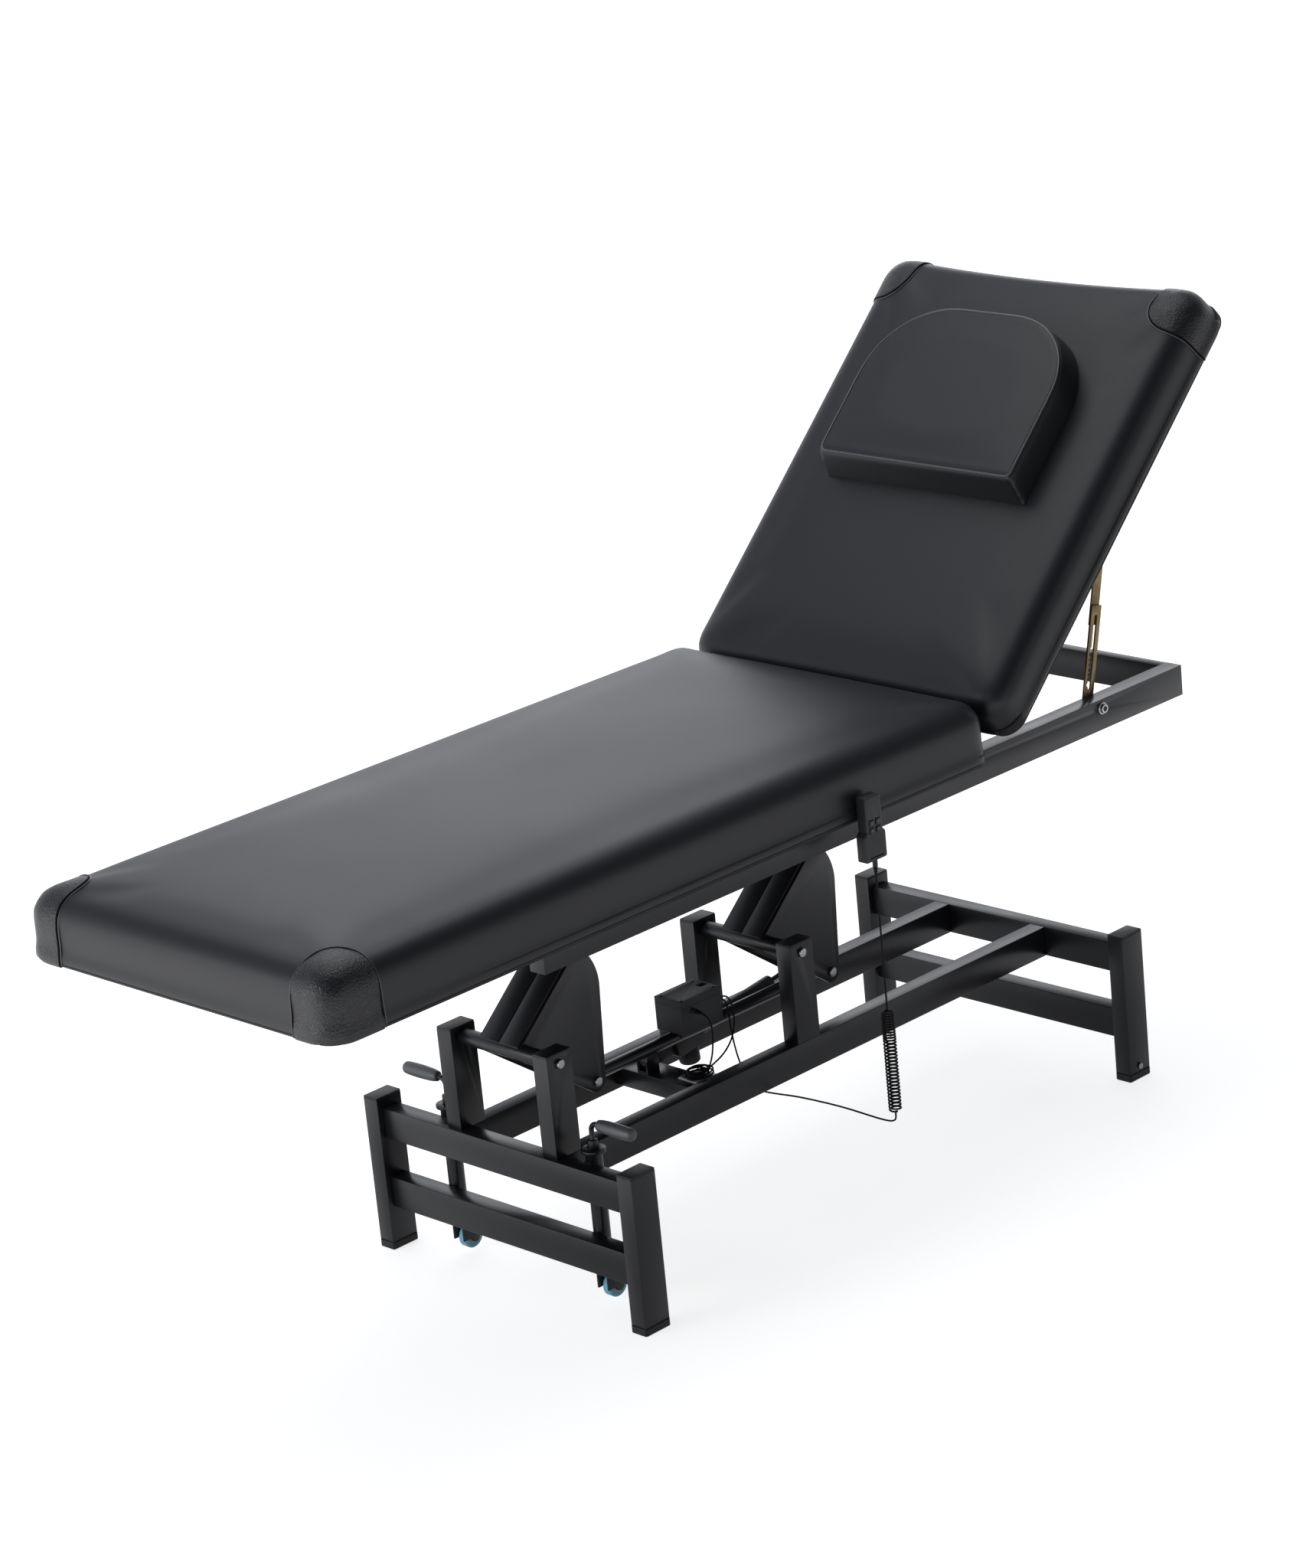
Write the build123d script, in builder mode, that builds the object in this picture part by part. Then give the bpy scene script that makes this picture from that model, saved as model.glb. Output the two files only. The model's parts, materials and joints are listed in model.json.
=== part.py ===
from build123d import *
from math import cos, sin, radians, degrees, atan2, hypot, pi, sqrt, tan
import os

os.makedirs("parts", exist_ok=True)

# Running and seating clearances
body_gap = 0.3
running_gap = 0.05
overrun = 2.0

# Steel tube of the base and the bed frame
tube_wide = 50.0
tube_thin = 30.0
tube_wall = 2.0
plate_thickness = 5.0

# Base frame
base_length = 1172.5
base_half_width = 290.7
post_top_z = 252.8
glide_height = 12.0
glide_lip = 2.0
glide_fillet = 4.0
upper_rail_top_z = 235.0
lower_rail_top_z = 120.4
cross_rail_inset = (tube_wide - tube_thin) / 2
long_rail_outer_y = 119.0
cap_thickness = 3.0
cap_fillet = 1.5
cross_member_x = 340.0
cross_member_top_z = 225.0
cable_plate_length = 45.0
cable_plate_width = 52.0
cable_plate_thickness = 3.0
cable_plate_y = -62.0

# Uprights that carry the two rockers
upright_foot_x = 16.3
upright_head_x = 539.7
upright_top_z = 397.9

# Rockers: pivot in the uprights, link bolt low, bed pivot high
pivot_z = 380.4
shaft_diameter = 25.0
pivot_bolt_diameter = 10.0
pivot_bolt_reach = 45.0
bolt_head_diameter = 15.0
bolt_head_height = 4.5
post_bolt_diameter = 10.0
post_bolt_height = 3.0
post_bolt_z = 22.0
arm_length = 300.0
arm_angle = 41.0
arm_thickness = 30.0
arm_half_width = 40.0
arm_seam_width = 2.0
arm_seam_depth = 1.2
eye_diameter = 34.0
eye_bolt_diameter = 12.0
link_x = 139.5
link_z = -94.0
link_corner_radius = 17.5
link_bolt_diameter = 10.0
plate_belly_radius = 84.0
plate_belly_x = 79.7
plate_belly_z = 56.0
plate_waist_x = 157.0
plate_waist_z = -60.0
plate_tip_along = 178.6
plate_edge_offset = 12.0

# Tie rod between the rockers, with the control box on it
tie_rod_diameter = 20.0
tie_rod_y = -22.0
tie_eye_diameter = 28.0
tie_eye_width = 20.0
box_x = 361.0
box_length = 86.0
box_y = -54.0
box_depth = 60.0
box_height = 54.0
box_gap_above_rod = 1.0
box_wall = 2.5
box_fillet = 2.0
lid_height = 10.0
saddle_length = 60.0
saddle_width = 26.0
screw_diameter = 5.0
screw_height = 1.2
screw_inset = 8.0
socket_diameter = 9.0
socket_length = 8.0
socket_rise = 36.0
notch_length = 16.0
notch_depth = 12.0
notch_height = 6.0

# Actuator under the bed, from the cross member to the head rocker
actuator_y = 26.0
actuator_rear_x = 354.0
actuator_rear_z = 243.0
actuator_pin_diameter = 8.0
clevis_width = 14.0
clevis_height = 22.0
housing_start = 50.0
housing_length = 62.0
housing_width = 34.0
housing_up = 30.0
housing_down = 18.0
housing_fillet = 6.0
motor_diameter = 34.0
motor_length = 26.0
motor_along = 86.0
motor_fillet = 4.0
actuator_tube_diameter = 24.0
actuator_bore = 20.0
actuator_tube_end = 282.0
rod_diameter = 11.0
rod_length = 150.0
rod_eye_diameter = 26.0
rod_eye_width = 14.0
bracket_ear_thickness = 4.0
bracket_ear_width = 26.0
bracket_base_thickness = 4.0

# Bed frame
rail_top_z = 655.0
bed_rail_inset = 54.0
bed_rail_foot = -113.0
bed_rail_past_hinge = 484.0
lug_thickness = 8.0
lug_width = 40.0
lug_gap = 4.0
end_member_width = 20.0
ear_thickness = 8.0
ear_width = 26.0
ear_y = 180.0

# Upholstery
pad_width = 670.0
seat_foot_overhang = 550.0
seat_length = 1358.0
seat_thickness = 108.0
board_thickness = 18.0
board_inset = 4.0
back_length = 796.0
back_thickness = 88.0
back_angle = 43.4
flat_gap = 7.0
pad_corner_radius = 38.0
pad_edge_radius = 35.0
pad_crown = 4.0
pad_low_edge_radius = 6.0
seat_side_draw_in = 3.0
seat_foot_draw_in = 3.0
back_side_draw_in = 3.0
back_head_dip = 10.0
back_pivot_along = 25.0
back_pivot_depth = 39.0
back_pin_diameter = 10.0
hinge_slot_margin = 4.0

# Pillow
pillow_width = 400.0
pillow_length = 300.0
pillow_thickness = 60.0
pillow_along = 356.0
pillow_corner_radius = 140.0
pillow_edge_radius = 18.0

# Hinge straps under the back
strap_width = 18.0
strap_foot_thickness = 3.0
strap_foot_length = 74.0
strap_foot_middle = 53.0

# Leather corner pieces
corner_cap_along = 93.0
corner_cap_across = 80.0
corner_cap_radius = 45.0
corner_cap_thickness = 2.5
seam_tolerance = 0.5

# Back strut: slotted bar on the rail, plain bar under the back
strut_foot_past_hinge = 283.0
strut_foot_below_rail_top = 15.0
strut_head_along = 470.0
strut_head_depth = 104.0
strut_thickness = 3.0
strut_width = 24.0
slot_bar_length = 160.0
plain_bar_length = 225.0
plain_bar_width = 20.0
strut_bolt_diameter = 8.0
strut_slot_start = 25.0
strut_slot_length = 120.0
strut_slot_width = 7.0
tooth_count = 8
tooth_pitch = 8.0
tooth_depth = 3.5
cheek_width = 20.0
strut_bracket_width = 34.0
strut_bracket_thickness = 4.0
washer_diameter = 20.0
washer_thickness = 1.5

# Handset on a clip at the near side of the seat
handset_x = 479.5
handset_width = 46.0
handset_bottom_z = 595.0
handset_height = 101.0
handset_thickness = 18.0
handset_neck_width = 34.0
handset_shoulder_rise = 41.0
handset_shoulder_slope = 6.0
handset_fillet = 4.0
handset_edge_radius = 2.5
key_width = 9.0
key_height = 8.5
key_pitch_x = 14.0
key_pitch_z = 12.0
key_rise = 54.0
key_corner_radius = 2.0
key_proud = 1.4
key_travel = 1.0
key_deep = 5.0
key_clearance = 0.4
relief_diameter = 8.0
relief_length = 12.0
clip_thickness = 2.5
clip_width = 26.0
clip_height = 58.0
clip_low_z = 668.0
clip_corner_radius = 4.0
clip_lip_reach = 8.0
clip_lip_width = 16.0

# Cords
cord_offset_x = 506.0
cord_diameter = 3.0
cord_arc_share = 0.45
curl_diameter = 17.0
curl_top_z = 355.0
curl_bottom_z = 188.0
thin_cable_diameter = 3.0
cable_plate_shift = 12.5
tail_end_y = -36.0
tail_end_z = 324.0
second_end_y = -48.0
second_end_z = 331.0
bundle_radius = 16.0
bundle_thickness = 10.0
socket_run = 14.0

# Bends of the cords: distance from the foot posts' outer face, then Y and Z
tail_bends = [
    (506.0, -346.5, 177.0),
    (506.0, -341.0, 167.5),
    (506.0, -331.0, 162.0),
    (505.0, -314.0, 160.5),
    (504.0, -286.0, 161.5),
    (501.0, -246.0, 164.0),
    (496.0, -200.0, 167.0),
    (490.0, -154.0, 168.5),
    (484.0, -112.0, 168.0),
    (480.0, -84.0, 172.0),
    (478.0, -64.0, 186.0),
    (477.0, -52.0, 208.0),
    (476.0, -44.0, 236.0),
    (476.0, -39.0, 266.0),
    (476.0, -37.0, 292.0),
    (475.0, -36.0, 308.0),
    (469.0, -36.0, 318.0),
    (459.0, -36.0, 324.0),
]
second_bends = [
    (459.0, -48.0, 331.0),
    (468.0, -49.0, 323.0),
    (472.0, -51.0, 309.0),
    (471.0, -54.0, 292.0),
    (465.0, -57.0, 276.0),
    (455.0, -60.0, 262.0),
    (441.0, -62.0, 251.0),
    (425.0, -63.0, 243.0),
    (408.0, -63.5, 238.0),
]
short_bends = [
    (385.0, -88.0, 324.4),
    (384.0, -93.0, 307.0),
    (382.0, -93.0, 287.0),
    (380.0, -91.0, 267.0),
    (378.0, -85.0, 249.0),
]

# Lifting castors at the foot end
castor_x = 70.0
castor_y = 158.0
sleeve_offset_x = 55.0
sleeve_diameter = 26.0
sleeve_wall = 2.5
sleeve_top_z = 245.0
sleeve_bottom_z = 80.0
sleeve_bracket_width = 20.0
sleeve_bracket_height = 24.0
flange_diameter = 38.0
flange_thickness = 5.0
spindle_diameter = 12.0
spindle_depth = 22.0
stem_diameter = 20.0
stem_top_z = 214.0
wheel_diameter = 38.0
wheel_width = 16.0
wheel_rise = 6.0
tyre_edge = 2.0
hub_diameter = 26.0
hub_bore = 8.0
fork_thickness = 3.0
fork_gap = 1.0
fork_length = 34.0
fork_bridge_gap = 4.0
crank_rod_diameter = 8.0
crank_offset = 15.0
crank_hub_diameter = 16.0
crank_hub_height = 14.0
crank_rise = 40.0
crank_bend_radius = 12.0
grip_length = 75.0
grip_rod_depth = 25.0
grip_thin_diameter = 15.0
grip_thick_diameter = 22.0
grip_edge_radius = 3.0

# Origin: middle of the footprint, on the floor
back_cos = cos(radians(back_angle))
back_sin = sin(radians(back_angle))
seat_top_z = rail_top_z + seat_thickness
back_flat_x = seat_length - seat_foot_overhang + flat_gap
back_pivot_offset = back_flat_x + back_pivot_along
back_pivot_z = seat_top_z - back_pivot_depth
back_reach = back_length - back_pivot_along
back_corner_drop = back_thickness - back_pivot_depth
back_tip_x = back_pivot_offset + back_reach * back_cos + back_corner_drop * back_sin - pad_low_edge_radius
foot_x = -(back_tip_x - seat_foot_overhang) / 2
bed_rail_head = back_pivot_offset + bed_rail_past_hinge
bed_rail_outer_y = pad_width / 2 - bed_rail_inset
strut_foot_x = back_pivot_offset + strut_foot_past_hinge
strut_foot_z = rail_top_z - strut_foot_below_rail_top


def base_x(offset):
    """X of a point measured from the outer face of the foot posts."""
    return foot_x + offset


post_centres_y = (-(base_half_width - tube_thin / 2), base_half_width - tube_thin / 2)


def save(block, label):
    block.part.label = label
    export_step(block.part, f"parts/{label}.step")


# Foot and head posts, each a rectangular tube standing on a glide
post_x_foot = base_x(tube_wide / 2)
post_x_head = base_x(base_length - tube_wide / 2)
post_spots = [(x, y) for x in (post_x_foot, post_x_head) for y in post_centres_y]
with BuildPart() as posts:
    with BuildSketch(Plane.XY.offset(glide_height)) as section:
        with Locations(*post_spots):
            Rectangle(tube_wide, tube_thin)
        with Locations(*post_spots):
            Rectangle(tube_wide - 2 * tube_wall, tube_thin - 2 * tube_wall, mode=Mode.SUBTRACT)
    extrude(amount=post_top_z - cap_thickness - glide_height)
save(posts, "posts")

# Plastic glides under the posts, with a plug inside the tube
with BuildPart() as glides:
    with BuildSketch(Plane.XY) as foot_pads:
        with Locations(*post_spots):
            RectangleRounded(tube_wide + glide_lip, tube_thin + glide_lip, glide_fillet)
    extrude(amount=glide_height)
    fillet(glides.faces().sort_by(Axis.Z)[:4].edges(), glide_lip)
    with BuildSketch(Plane.XY.offset(glide_height)) as plugs:
        with Locations(*post_spots):
            Rectangle(tube_wide - 2 * tube_wall, tube_thin - 2 * tube_wall)
    extrude(amount=glide_height)
save(glides, "leg_glides")

# Cross rails between the posts of each end frame
inner_post_y = base_half_width - tube_thin
rail_middle_zs = (upper_rail_top_z - tube_wide / 2, lower_rail_top_z - tube_wide / 2)
cross_rail_spots = [(x, z) for x in (post_x_foot, post_x_head) for z in rail_middle_zs]
with BuildPart() as cross_rails:
    with BuildSketch(Plane.XZ.offset(-inner_post_y)) as section:
        with Locations(*cross_rail_spots):
            Rectangle(tube_thin, tube_wide)
        with Locations(*cross_rail_spots):
            Rectangle(tube_thin - 2 * tube_wall, tube_wide - 2 * tube_wall, mode=Mode.SUBTRACT)
    extrude(amount=2 * inner_post_y)
save(cross_rails, "cross_rails")

# Two long rails from end frame to end frame
long_rail_y = long_rail_outer_y - tube_thin / 2
long_rail_start = post_x_foot + tube_thin / 2
long_rail_length = post_x_head - post_x_foot - tube_thin
with BuildPart() as long_rails:
    with BuildSketch(Plane.YZ.offset(long_rail_start)) as section:
        with Locations((-long_rail_y, rail_middle_zs[0]), (long_rail_y, rail_middle_zs[0])):
            Rectangle(tube_thin, tube_wide)
        with Locations((-long_rail_y, rail_middle_zs[0]), (long_rail_y, rail_middle_zs[0])):
            Rectangle(tube_thin - 2 * tube_wall, tube_wide - 2 * tube_wall, mode=Mode.SUBTRACT)
    extrude(amount=long_rail_length)
save(long_rails, "long_rails")

# Uprights, drilled for the rocker bolts, and closed by caps
upright_spots = [
    (base_x(start + tube_wide / 2), side * long_rail_y)
    for start in (upright_foot_x, upright_head_x)
    for side in (-1, 1)
]
with BuildPart() as uprights:
    with BuildSketch(Plane.XY.offset(upper_rail_top_z)) as section:
        with Locations(*upright_spots):
            Rectangle(tube_wide, tube_thin)
        with Locations(*upright_spots):
            Rectangle(tube_wide - 2 * tube_wall, tube_thin - 2 * tube_wall, mode=Mode.SUBTRACT)
    extrude(amount=upright_top_z - cap_thickness - upper_rail_top_z)
    with BuildSketch(Plane.XZ.offset(-long_rail_outer_y - overrun)) as holes:
        with Locations(*[(spot[0], pivot_z) for spot in (upright_spots[0], upright_spots[2])]):
            Circle(pivot_bolt_diameter / 2)
    extrude(amount=2 * (long_rail_outer_y + overrun), mode=Mode.SUBTRACT)
save(uprights, "uprights")

# Caps that close the open tube ends of posts and uprights
cap_places = [(spot, post_top_z) for spot in post_spots]
cap_places += [(spot, upright_top_z) for spot in upright_spots]
with BuildPart() as caps:
    for spot, top_z in cap_places:
        with BuildSketch(Plane.XY.offset(top_z - cap_thickness)) as cap_outline:
            with Locations(spot):
                RectangleRounded(tube_wide, tube_thin, cap_fillet)
        extrude(amount=cap_thickness)
        with BuildSketch(Plane.XY.offset(top_z - cap_thickness)) as cap_plug:
            with Locations(spot):
                Rectangle(tube_wide - 2 * tube_wall, tube_thin - 2 * tube_wall)
        extrude(amount=-cap_thickness)
save(caps, "tube_caps")

# Cross member between the long rails, and the pale plate on it
member_half_span = long_rail_outer_y - tube_thin
member_middle_x = base_x(cross_member_x + tube_wide / 2)
member_middle_z = cross_member_top_z - tube_thin / 2
with BuildPart() as cross_member:
    with BuildSketch(Plane.XZ.offset(-member_half_span)) as section:
        with Locations((member_middle_x, member_middle_z)):
            Rectangle(tube_wide, tube_thin)
            Rectangle(tube_wide - 2 * tube_wall, tube_thin - 2 * tube_wall, mode=Mode.SUBTRACT)
    extrude(amount=2 * member_half_span)
save(cross_member, "cross_member")

with BuildPart() as cable_plate:
    with BuildSketch(Plane.XY.offset(cross_member_top_z)) as plate_outline:
        with Locations((member_middle_x + cable_plate_shift, cable_plate_y)):
            RectangleRounded(cable_plate_length, cable_plate_width, cap_fillet)
    extrude(amount=cable_plate_thickness)
save(cable_plate, "cable_plate")

# Bolts on which the rocker shafts turn, heads outside the uprights
rocker_xs = (upright_spots[0][0], upright_spots[2][0])
with BuildPart() as pivot_bolts:
    for side in (-1, 1):
        with BuildSketch(Plane.XZ.offset(-side * long_rail_outer_y)) as shanks:
            with Locations(*[(x, pivot_z) for x in rocker_xs]):
                Circle(pivot_bolt_diameter / 2)
        extrude(amount=side * pivot_bolt_reach)
        with BuildSketch(Plane.XZ.offset(-side * long_rail_outer_y)) as heads:
            with Locations(*[(x, pivot_z) for x in rocker_xs]):
                Circle(bolt_head_diameter / 2)
        extrude(amount=-side * bolt_head_height)
    head_rims = pivot_bolts.faces().filter_by(Axis.Y).group_by(Axis.Y)
    fillet(head_rims[0].edges() + head_rims[-1].edges(), bolt_head_height / 2)
    for side in (-1, 1):
        with BuildSketch(Plane.XZ.offset(-side * base_half_width)) as post_bolt_heads:
            with Locations((post_x_head, post_bolt_z)):
                Circle(post_bolt_diameter / 2)
        extrude(amount=-side * post_bolt_height)
save(pivot_bolts, "base_bolts")


def arm_plane(pivot_x):
    """Plane through a rocker's pivot, X along its arm, Y up from the arm, seen from the near side."""
    direction = (cos(radians(arm_angle)), 0, sin(radians(arm_angle)))
    return Plane(origin=(pivot_x, 0, pivot_z), x_dir=direction, z_dir=(0, -1, 0))


# The two rockers: shaft, arm, side plates and link bolt
plate_outer_y = arm_half_width + plate_thickness
shaft_half_length = member_half_span - body_gap
arm_end = arm_length - eye_diameter / 2 + overrun
for name, pivot_x in (("foot", rocker_xs[0]), ("head", rocker_xs[1])):
    side_plane = Plane(origin=(pivot_x, 0, pivot_z), x_dir=(1, 0, 0), z_dir=(0, -1, 0))
    with BuildPart() as arm:
        with BuildSketch(arm_plane(pivot_x).offset(-arm_half_width)) as web:
            with Locations((arm_end / 2, 0)):
                Rectangle(arm_end, arm_thickness)
        extrude(amount=2 * arm_half_width)
        with BuildSketch(arm_plane(pivot_x).offset(-arm_half_width)) as eye:
            with Locations((arm_length, 0)):
                Circle(eye_diameter / 2)
        extrude(amount=2 * arm_half_width)
        with BuildSketch(arm_plane(pivot_x).offset(-arm_half_width)) as eye_bore:
            with Locations((arm_length, 0)):
                Circle(eye_bolt_diameter / 2 + running_gap)
        extrude(amount=2 * arm_half_width, mode=Mode.SUBTRACT)
        with BuildSketch(arm_plane(pivot_x).offset(-arm_seam_width / 2)) as seam:
            with Locations((arm_end / 2, arm_thickness / 2)):
                Rectangle(arm_end, 2 * arm_seam_depth)
        extrude(amount=arm_seam_width, mode=Mode.SUBTRACT)
        with BuildSketch(side_plane.offset(-shaft_half_length)) as shaft_section:
            Circle(shaft_diameter / 2)
        extrude(amount=2 * shaft_half_length)
        with BuildSketch(side_plane.offset(-shaft_half_length)) as shaft_bore:
            Circle(pivot_bolt_diameter / 2 + running_gap)
        extrude(amount=2 * shaft_half_length, mode=Mode.SUBTRACT)
    save(arm, f"{name}_rocker_arm")

    # Side plates: straight front edge along the arm, full belly, round corner at the link bolt
    edge_x = -plate_edge_offset * sin(radians(arm_angle))
    edge_z = plate_edge_offset * cos(radians(arm_angle))
    tip_x = edge_x + plate_tip_along * cos(radians(arm_angle))
    tip_z = edge_z + plate_tip_along * sin(radians(arm_angle))
    belly_x = plate_belly_x + plate_belly_radius
    low_angle = radians(-45)
    lobe_x = link_x + link_corner_radius * cos(low_angle)
    lobe_z = link_z + link_corner_radius * sin(low_angle)
    belly_mid = atan2(tip_z - plate_belly_z, tip_x - plate_belly_x) / 2
    under_angle = atan2(link_z, link_x) - pi / 2
    under = (cos(under_angle), sin(under_angle))
    with BuildPart() as plates:
        for plane_offset in (-plate_outer_y, arm_half_width):
            with BuildSketch(side_plane.offset(plane_offset)) as outline:
                with BuildLine() as edge:
                    Line((edge_x, edge_z), (tip_x, tip_z))
                    ThreePointArc(
                        (tip_x, tip_z),
                        (
                            plate_belly_x + plate_belly_radius * cos(belly_mid),
                            plate_belly_z + plate_belly_radius * sin(belly_mid),
                        ),
                        (belly_x, plate_belly_z),
                    )
                    Line((belly_x, plate_belly_z), (link_x + link_corner_radius, link_z))
                    ThreePointArc(
                        (link_x + link_corner_radius, link_z),
                        (lobe_x, lobe_z),
                        (link_x + link_corner_radius * under[0], link_z + link_corner_radius * under[1]),
                    )
                    Line(
                        (link_x + link_corner_radius * under[0], link_z + link_corner_radius * under[1]),
                        (plate_edge_offset * under[0], plate_edge_offset * under[1]),
                    )
                    ThreePointArc(
                        (plate_edge_offset * under[0], plate_edge_offset * under[1]),
                        (-plate_edge_offset, 0),
                        (edge_x, edge_z),
                    )
                make_face()
                Circle(shaft_diameter / 2, mode=Mode.SUBTRACT)
                with Locations((link_x, link_z)):
                    Circle(link_bolt_diameter / 2, mode=Mode.SUBTRACT)
            extrude(amount=plate_thickness)
    save(plates, f"{name}_rocker_plates")

    with BuildPart() as link_bolt:
        with BuildSketch(side_plane.offset(-plate_outer_y)) as shank:
            with Locations((link_x, link_z)):
                Circle(link_bolt_diameter / 2)
        extrude(amount=2 * plate_outer_y)
        with BuildSketch(side_plane.offset(plate_outer_y)) as head:
            with Locations((link_x, link_z)):
                Circle(bolt_head_diameter / 2)
        extrude(amount=bolt_head_height)
        with BuildSketch(side_plane.offset(-plate_outer_y)) as nut:
            with Locations((link_x, link_z)):
                RegularPolygon(bolt_head_diameter / 2, 6)
        extrude(amount=-bolt_head_height)
        fillet(link_bolt.faces().sort_by(Axis.Y)[0].edges(), bolt_head_height / 2)
    save(link_bolt, f"{name}_link_bolt")

# Tie rod from link bolt to link bolt
link_z_now = pivot_z + link_z
with BuildPart() as tie_rod:
    with BuildSketch(Plane.YZ.offset(rocker_xs[0] + link_x)) as rod_section:
        with Locations((tie_rod_y, link_z_now)):
            Circle(tie_rod_diameter / 2)
    extrude(amount=rocker_xs[1] - rocker_xs[0])
    with BuildSketch(Plane.XZ.offset(-tie_rod_y - tie_eye_width / 2)) as eyes:
        with Locations(*[(x + link_x, link_z_now) for x in rocker_xs]):
            Circle(tie_eye_diameter / 2)
    extrude(amount=tie_eye_width)
    with BuildSketch(Plane.XZ.offset(-tie_rod_y - tie_eye_width / 2)) as eye_bores:
        with Locations(*[(x + link_x, link_z_now) for x in rocker_xs]):
            Circle(link_bolt_diameter / 2 + running_gap)
    extrude(amount=tie_eye_width, mode=Mode.SUBTRACT)
save(tie_rod, "tie_rod")

# Control box on the tie rod: open case with a saddle, and its lid with the cable notch
box_bottom_z = link_z_now + tie_rod_diameter / 2 + box_gap_above_rod
box_middle = (base_x(box_x + box_length / 2), box_y + box_depth / 2)
case_height = box_height - lid_height
with BuildPart() as control_box:
    with BuildSketch(Plane.XY.offset(box_bottom_z)) as case_outline:
        with Locations(box_middle):
            RectangleRounded(box_length, box_depth, box_fillet)
    extrude(amount=case_height)
    with BuildSketch(Plane.XY.offset(box_bottom_z + box_wall)) as case_inside:
        with Locations(box_middle):
            Rectangle(box_length - 2 * box_wall, box_depth - 2 * box_wall)
    extrude(amount=case_height, mode=Mode.SUBTRACT)
    with BuildSketch(Plane.XY.offset(link_z_now)) as saddle:
        with Locations((box_middle[0], tie_rod_y)):
            Rectangle(saddle_length, saddle_width)
    extrude(amount=box_bottom_z - link_z_now)
    with BuildSketch(Plane.YZ.offset(base_x(box_x))) as saddle_bore:
        with Locations((tie_rod_y, link_z_now)):
            Circle(tie_rod_diameter / 2)
    extrude(amount=box_length, mode=Mode.SUBTRACT)
    socket_x = box_middle[0] - box_length / 4
    with BuildSketch(Plane.XZ.offset(-box_y)) as socket:
        with Locations((socket_x, box_bottom_z + socket_rise)):
            Circle(socket_diameter / 2)
    extrude(amount=socket_length)
save(control_box, "control_box")

with BuildPart() as control_lid:
    with BuildSketch(Plane.XY.offset(box_bottom_z + case_height)) as lid_outline:
        with Locations(box_middle):
            RectangleRounded(box_length, box_depth, box_fillet)
    extrude(amount=lid_height)
    notch_spot = (base_x(box_x + box_length - notch_length / 2) - box_wall, box_middle[1])
    with BuildSketch(Plane.XY.offset(box_bottom_z + box_height)) as notch:
        with Locations(notch_spot):
            Rectangle(notch_length, notch_depth)
    extrude(amount=-notch_height, mode=Mode.SUBTRACT)
    with BuildSketch(Plane.XY.offset(box_bottom_z + box_height)) as screw_heads:
        with Locations(box_middle):
            with GridLocations(box_length - 2 * screw_inset, box_depth - 2 * screw_inset, 2, 2):
                Circle(screw_diameter / 2)
    extrude(amount=screw_height)
save(control_lid, "control_lid")

# Actuator: worked from its rear pin, along the line to the head rocker's link bolt
rear_x = base_x(actuator_rear_x)
front_dx = rocker_xs[1] + link_x - rear_x
front_dz = link_z_now - actuator_rear_z
actuator_reach = hypot(front_dx, front_dz)
actuator_angle = atan2(front_dz, front_dx)
along = (cos(actuator_angle), 0, sin(actuator_angle))


def actuator_side(y):
    """Plane at the given Y through the rear pin, X along the actuator."""
    return Plane(origin=(rear_x, y, actuator_rear_z), x_dir=along, z_dir=(0, -1, 0))


def actuator_cross(distance):
    """Plane square to the actuator at a distance from the rear pin."""
    origin = (rear_x + distance * along[0], actuator_y, actuator_rear_z + distance * along[2])
    return Plane(origin=origin, x_dir=(0, 1, 0), z_dir=along)


with BuildPart() as gear_housing:
    with BuildSketch(actuator_side(actuator_y + housing_width / 2)) as housing_outline:
        with Locations((housing_start + housing_length / 2, (housing_up - housing_down) / 2)):
            RectangleRounded(housing_length, housing_up + housing_down, housing_fillet)
    extrude(amount=housing_width)
    with BuildSketch(actuator_side(actuator_y + clevis_width / 2)) as clevis:
        with Locations((housing_start / 2, 0)):
            Rectangle(housing_start + overrun, clevis_height)
        Circle(clevis_height / 2)
    extrude(amount=clevis_width)
    with BuildSketch(actuator_side(actuator_y + clevis_width / 2)) as clevis_trim:
        with Locations((-clevis_height / 2, 0)):
            Rectangle(clevis_height, clevis_height)
        Circle(clevis_height / 2, mode=Mode.SUBTRACT)
        Circle(actuator_pin_diameter / 2 + running_gap)
    extrude(amount=clevis_width, mode=Mode.SUBTRACT)
    with BuildSketch(actuator_cross(housing_start + housing_length)) as tube_seat:
        Circle(actuator_bore / 2)
    extrude(amount=-housing_length / 2, mode=Mode.SUBTRACT)
save(gear_housing, "gear_housing")

with BuildPart() as actuator_tube:
    with BuildSketch(actuator_cross(housing_start + housing_length)) as tube_section:
        Circle(actuator_tube_diameter / 2)
        Circle(actuator_bore / 2, mode=Mode.SUBTRACT)
    extrude(amount=actuator_tube_end - housing_start - housing_length)
save(actuator_tube, "actuator_tube")

motor_plane = Plane(
    origin=(
        rear_x + motor_along * along[0] + housing_down * along[2],
        actuator_y,
        actuator_rear_z + motor_along * along[2] - housing_down * along[0],
    ),
    x_dir=along,
    z_dir=(along[2], 0, -along[0]),
)
with BuildPart() as motor:
    with BuildSketch(motor_plane) as motor_section:
        Circle(motor_diameter / 2)
    extrude(amount=motor_length)
    fillet(motor.faces().sort_by(Axis.Z)[0].edges(), motor_fillet)
save(motor, "motor")

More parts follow.
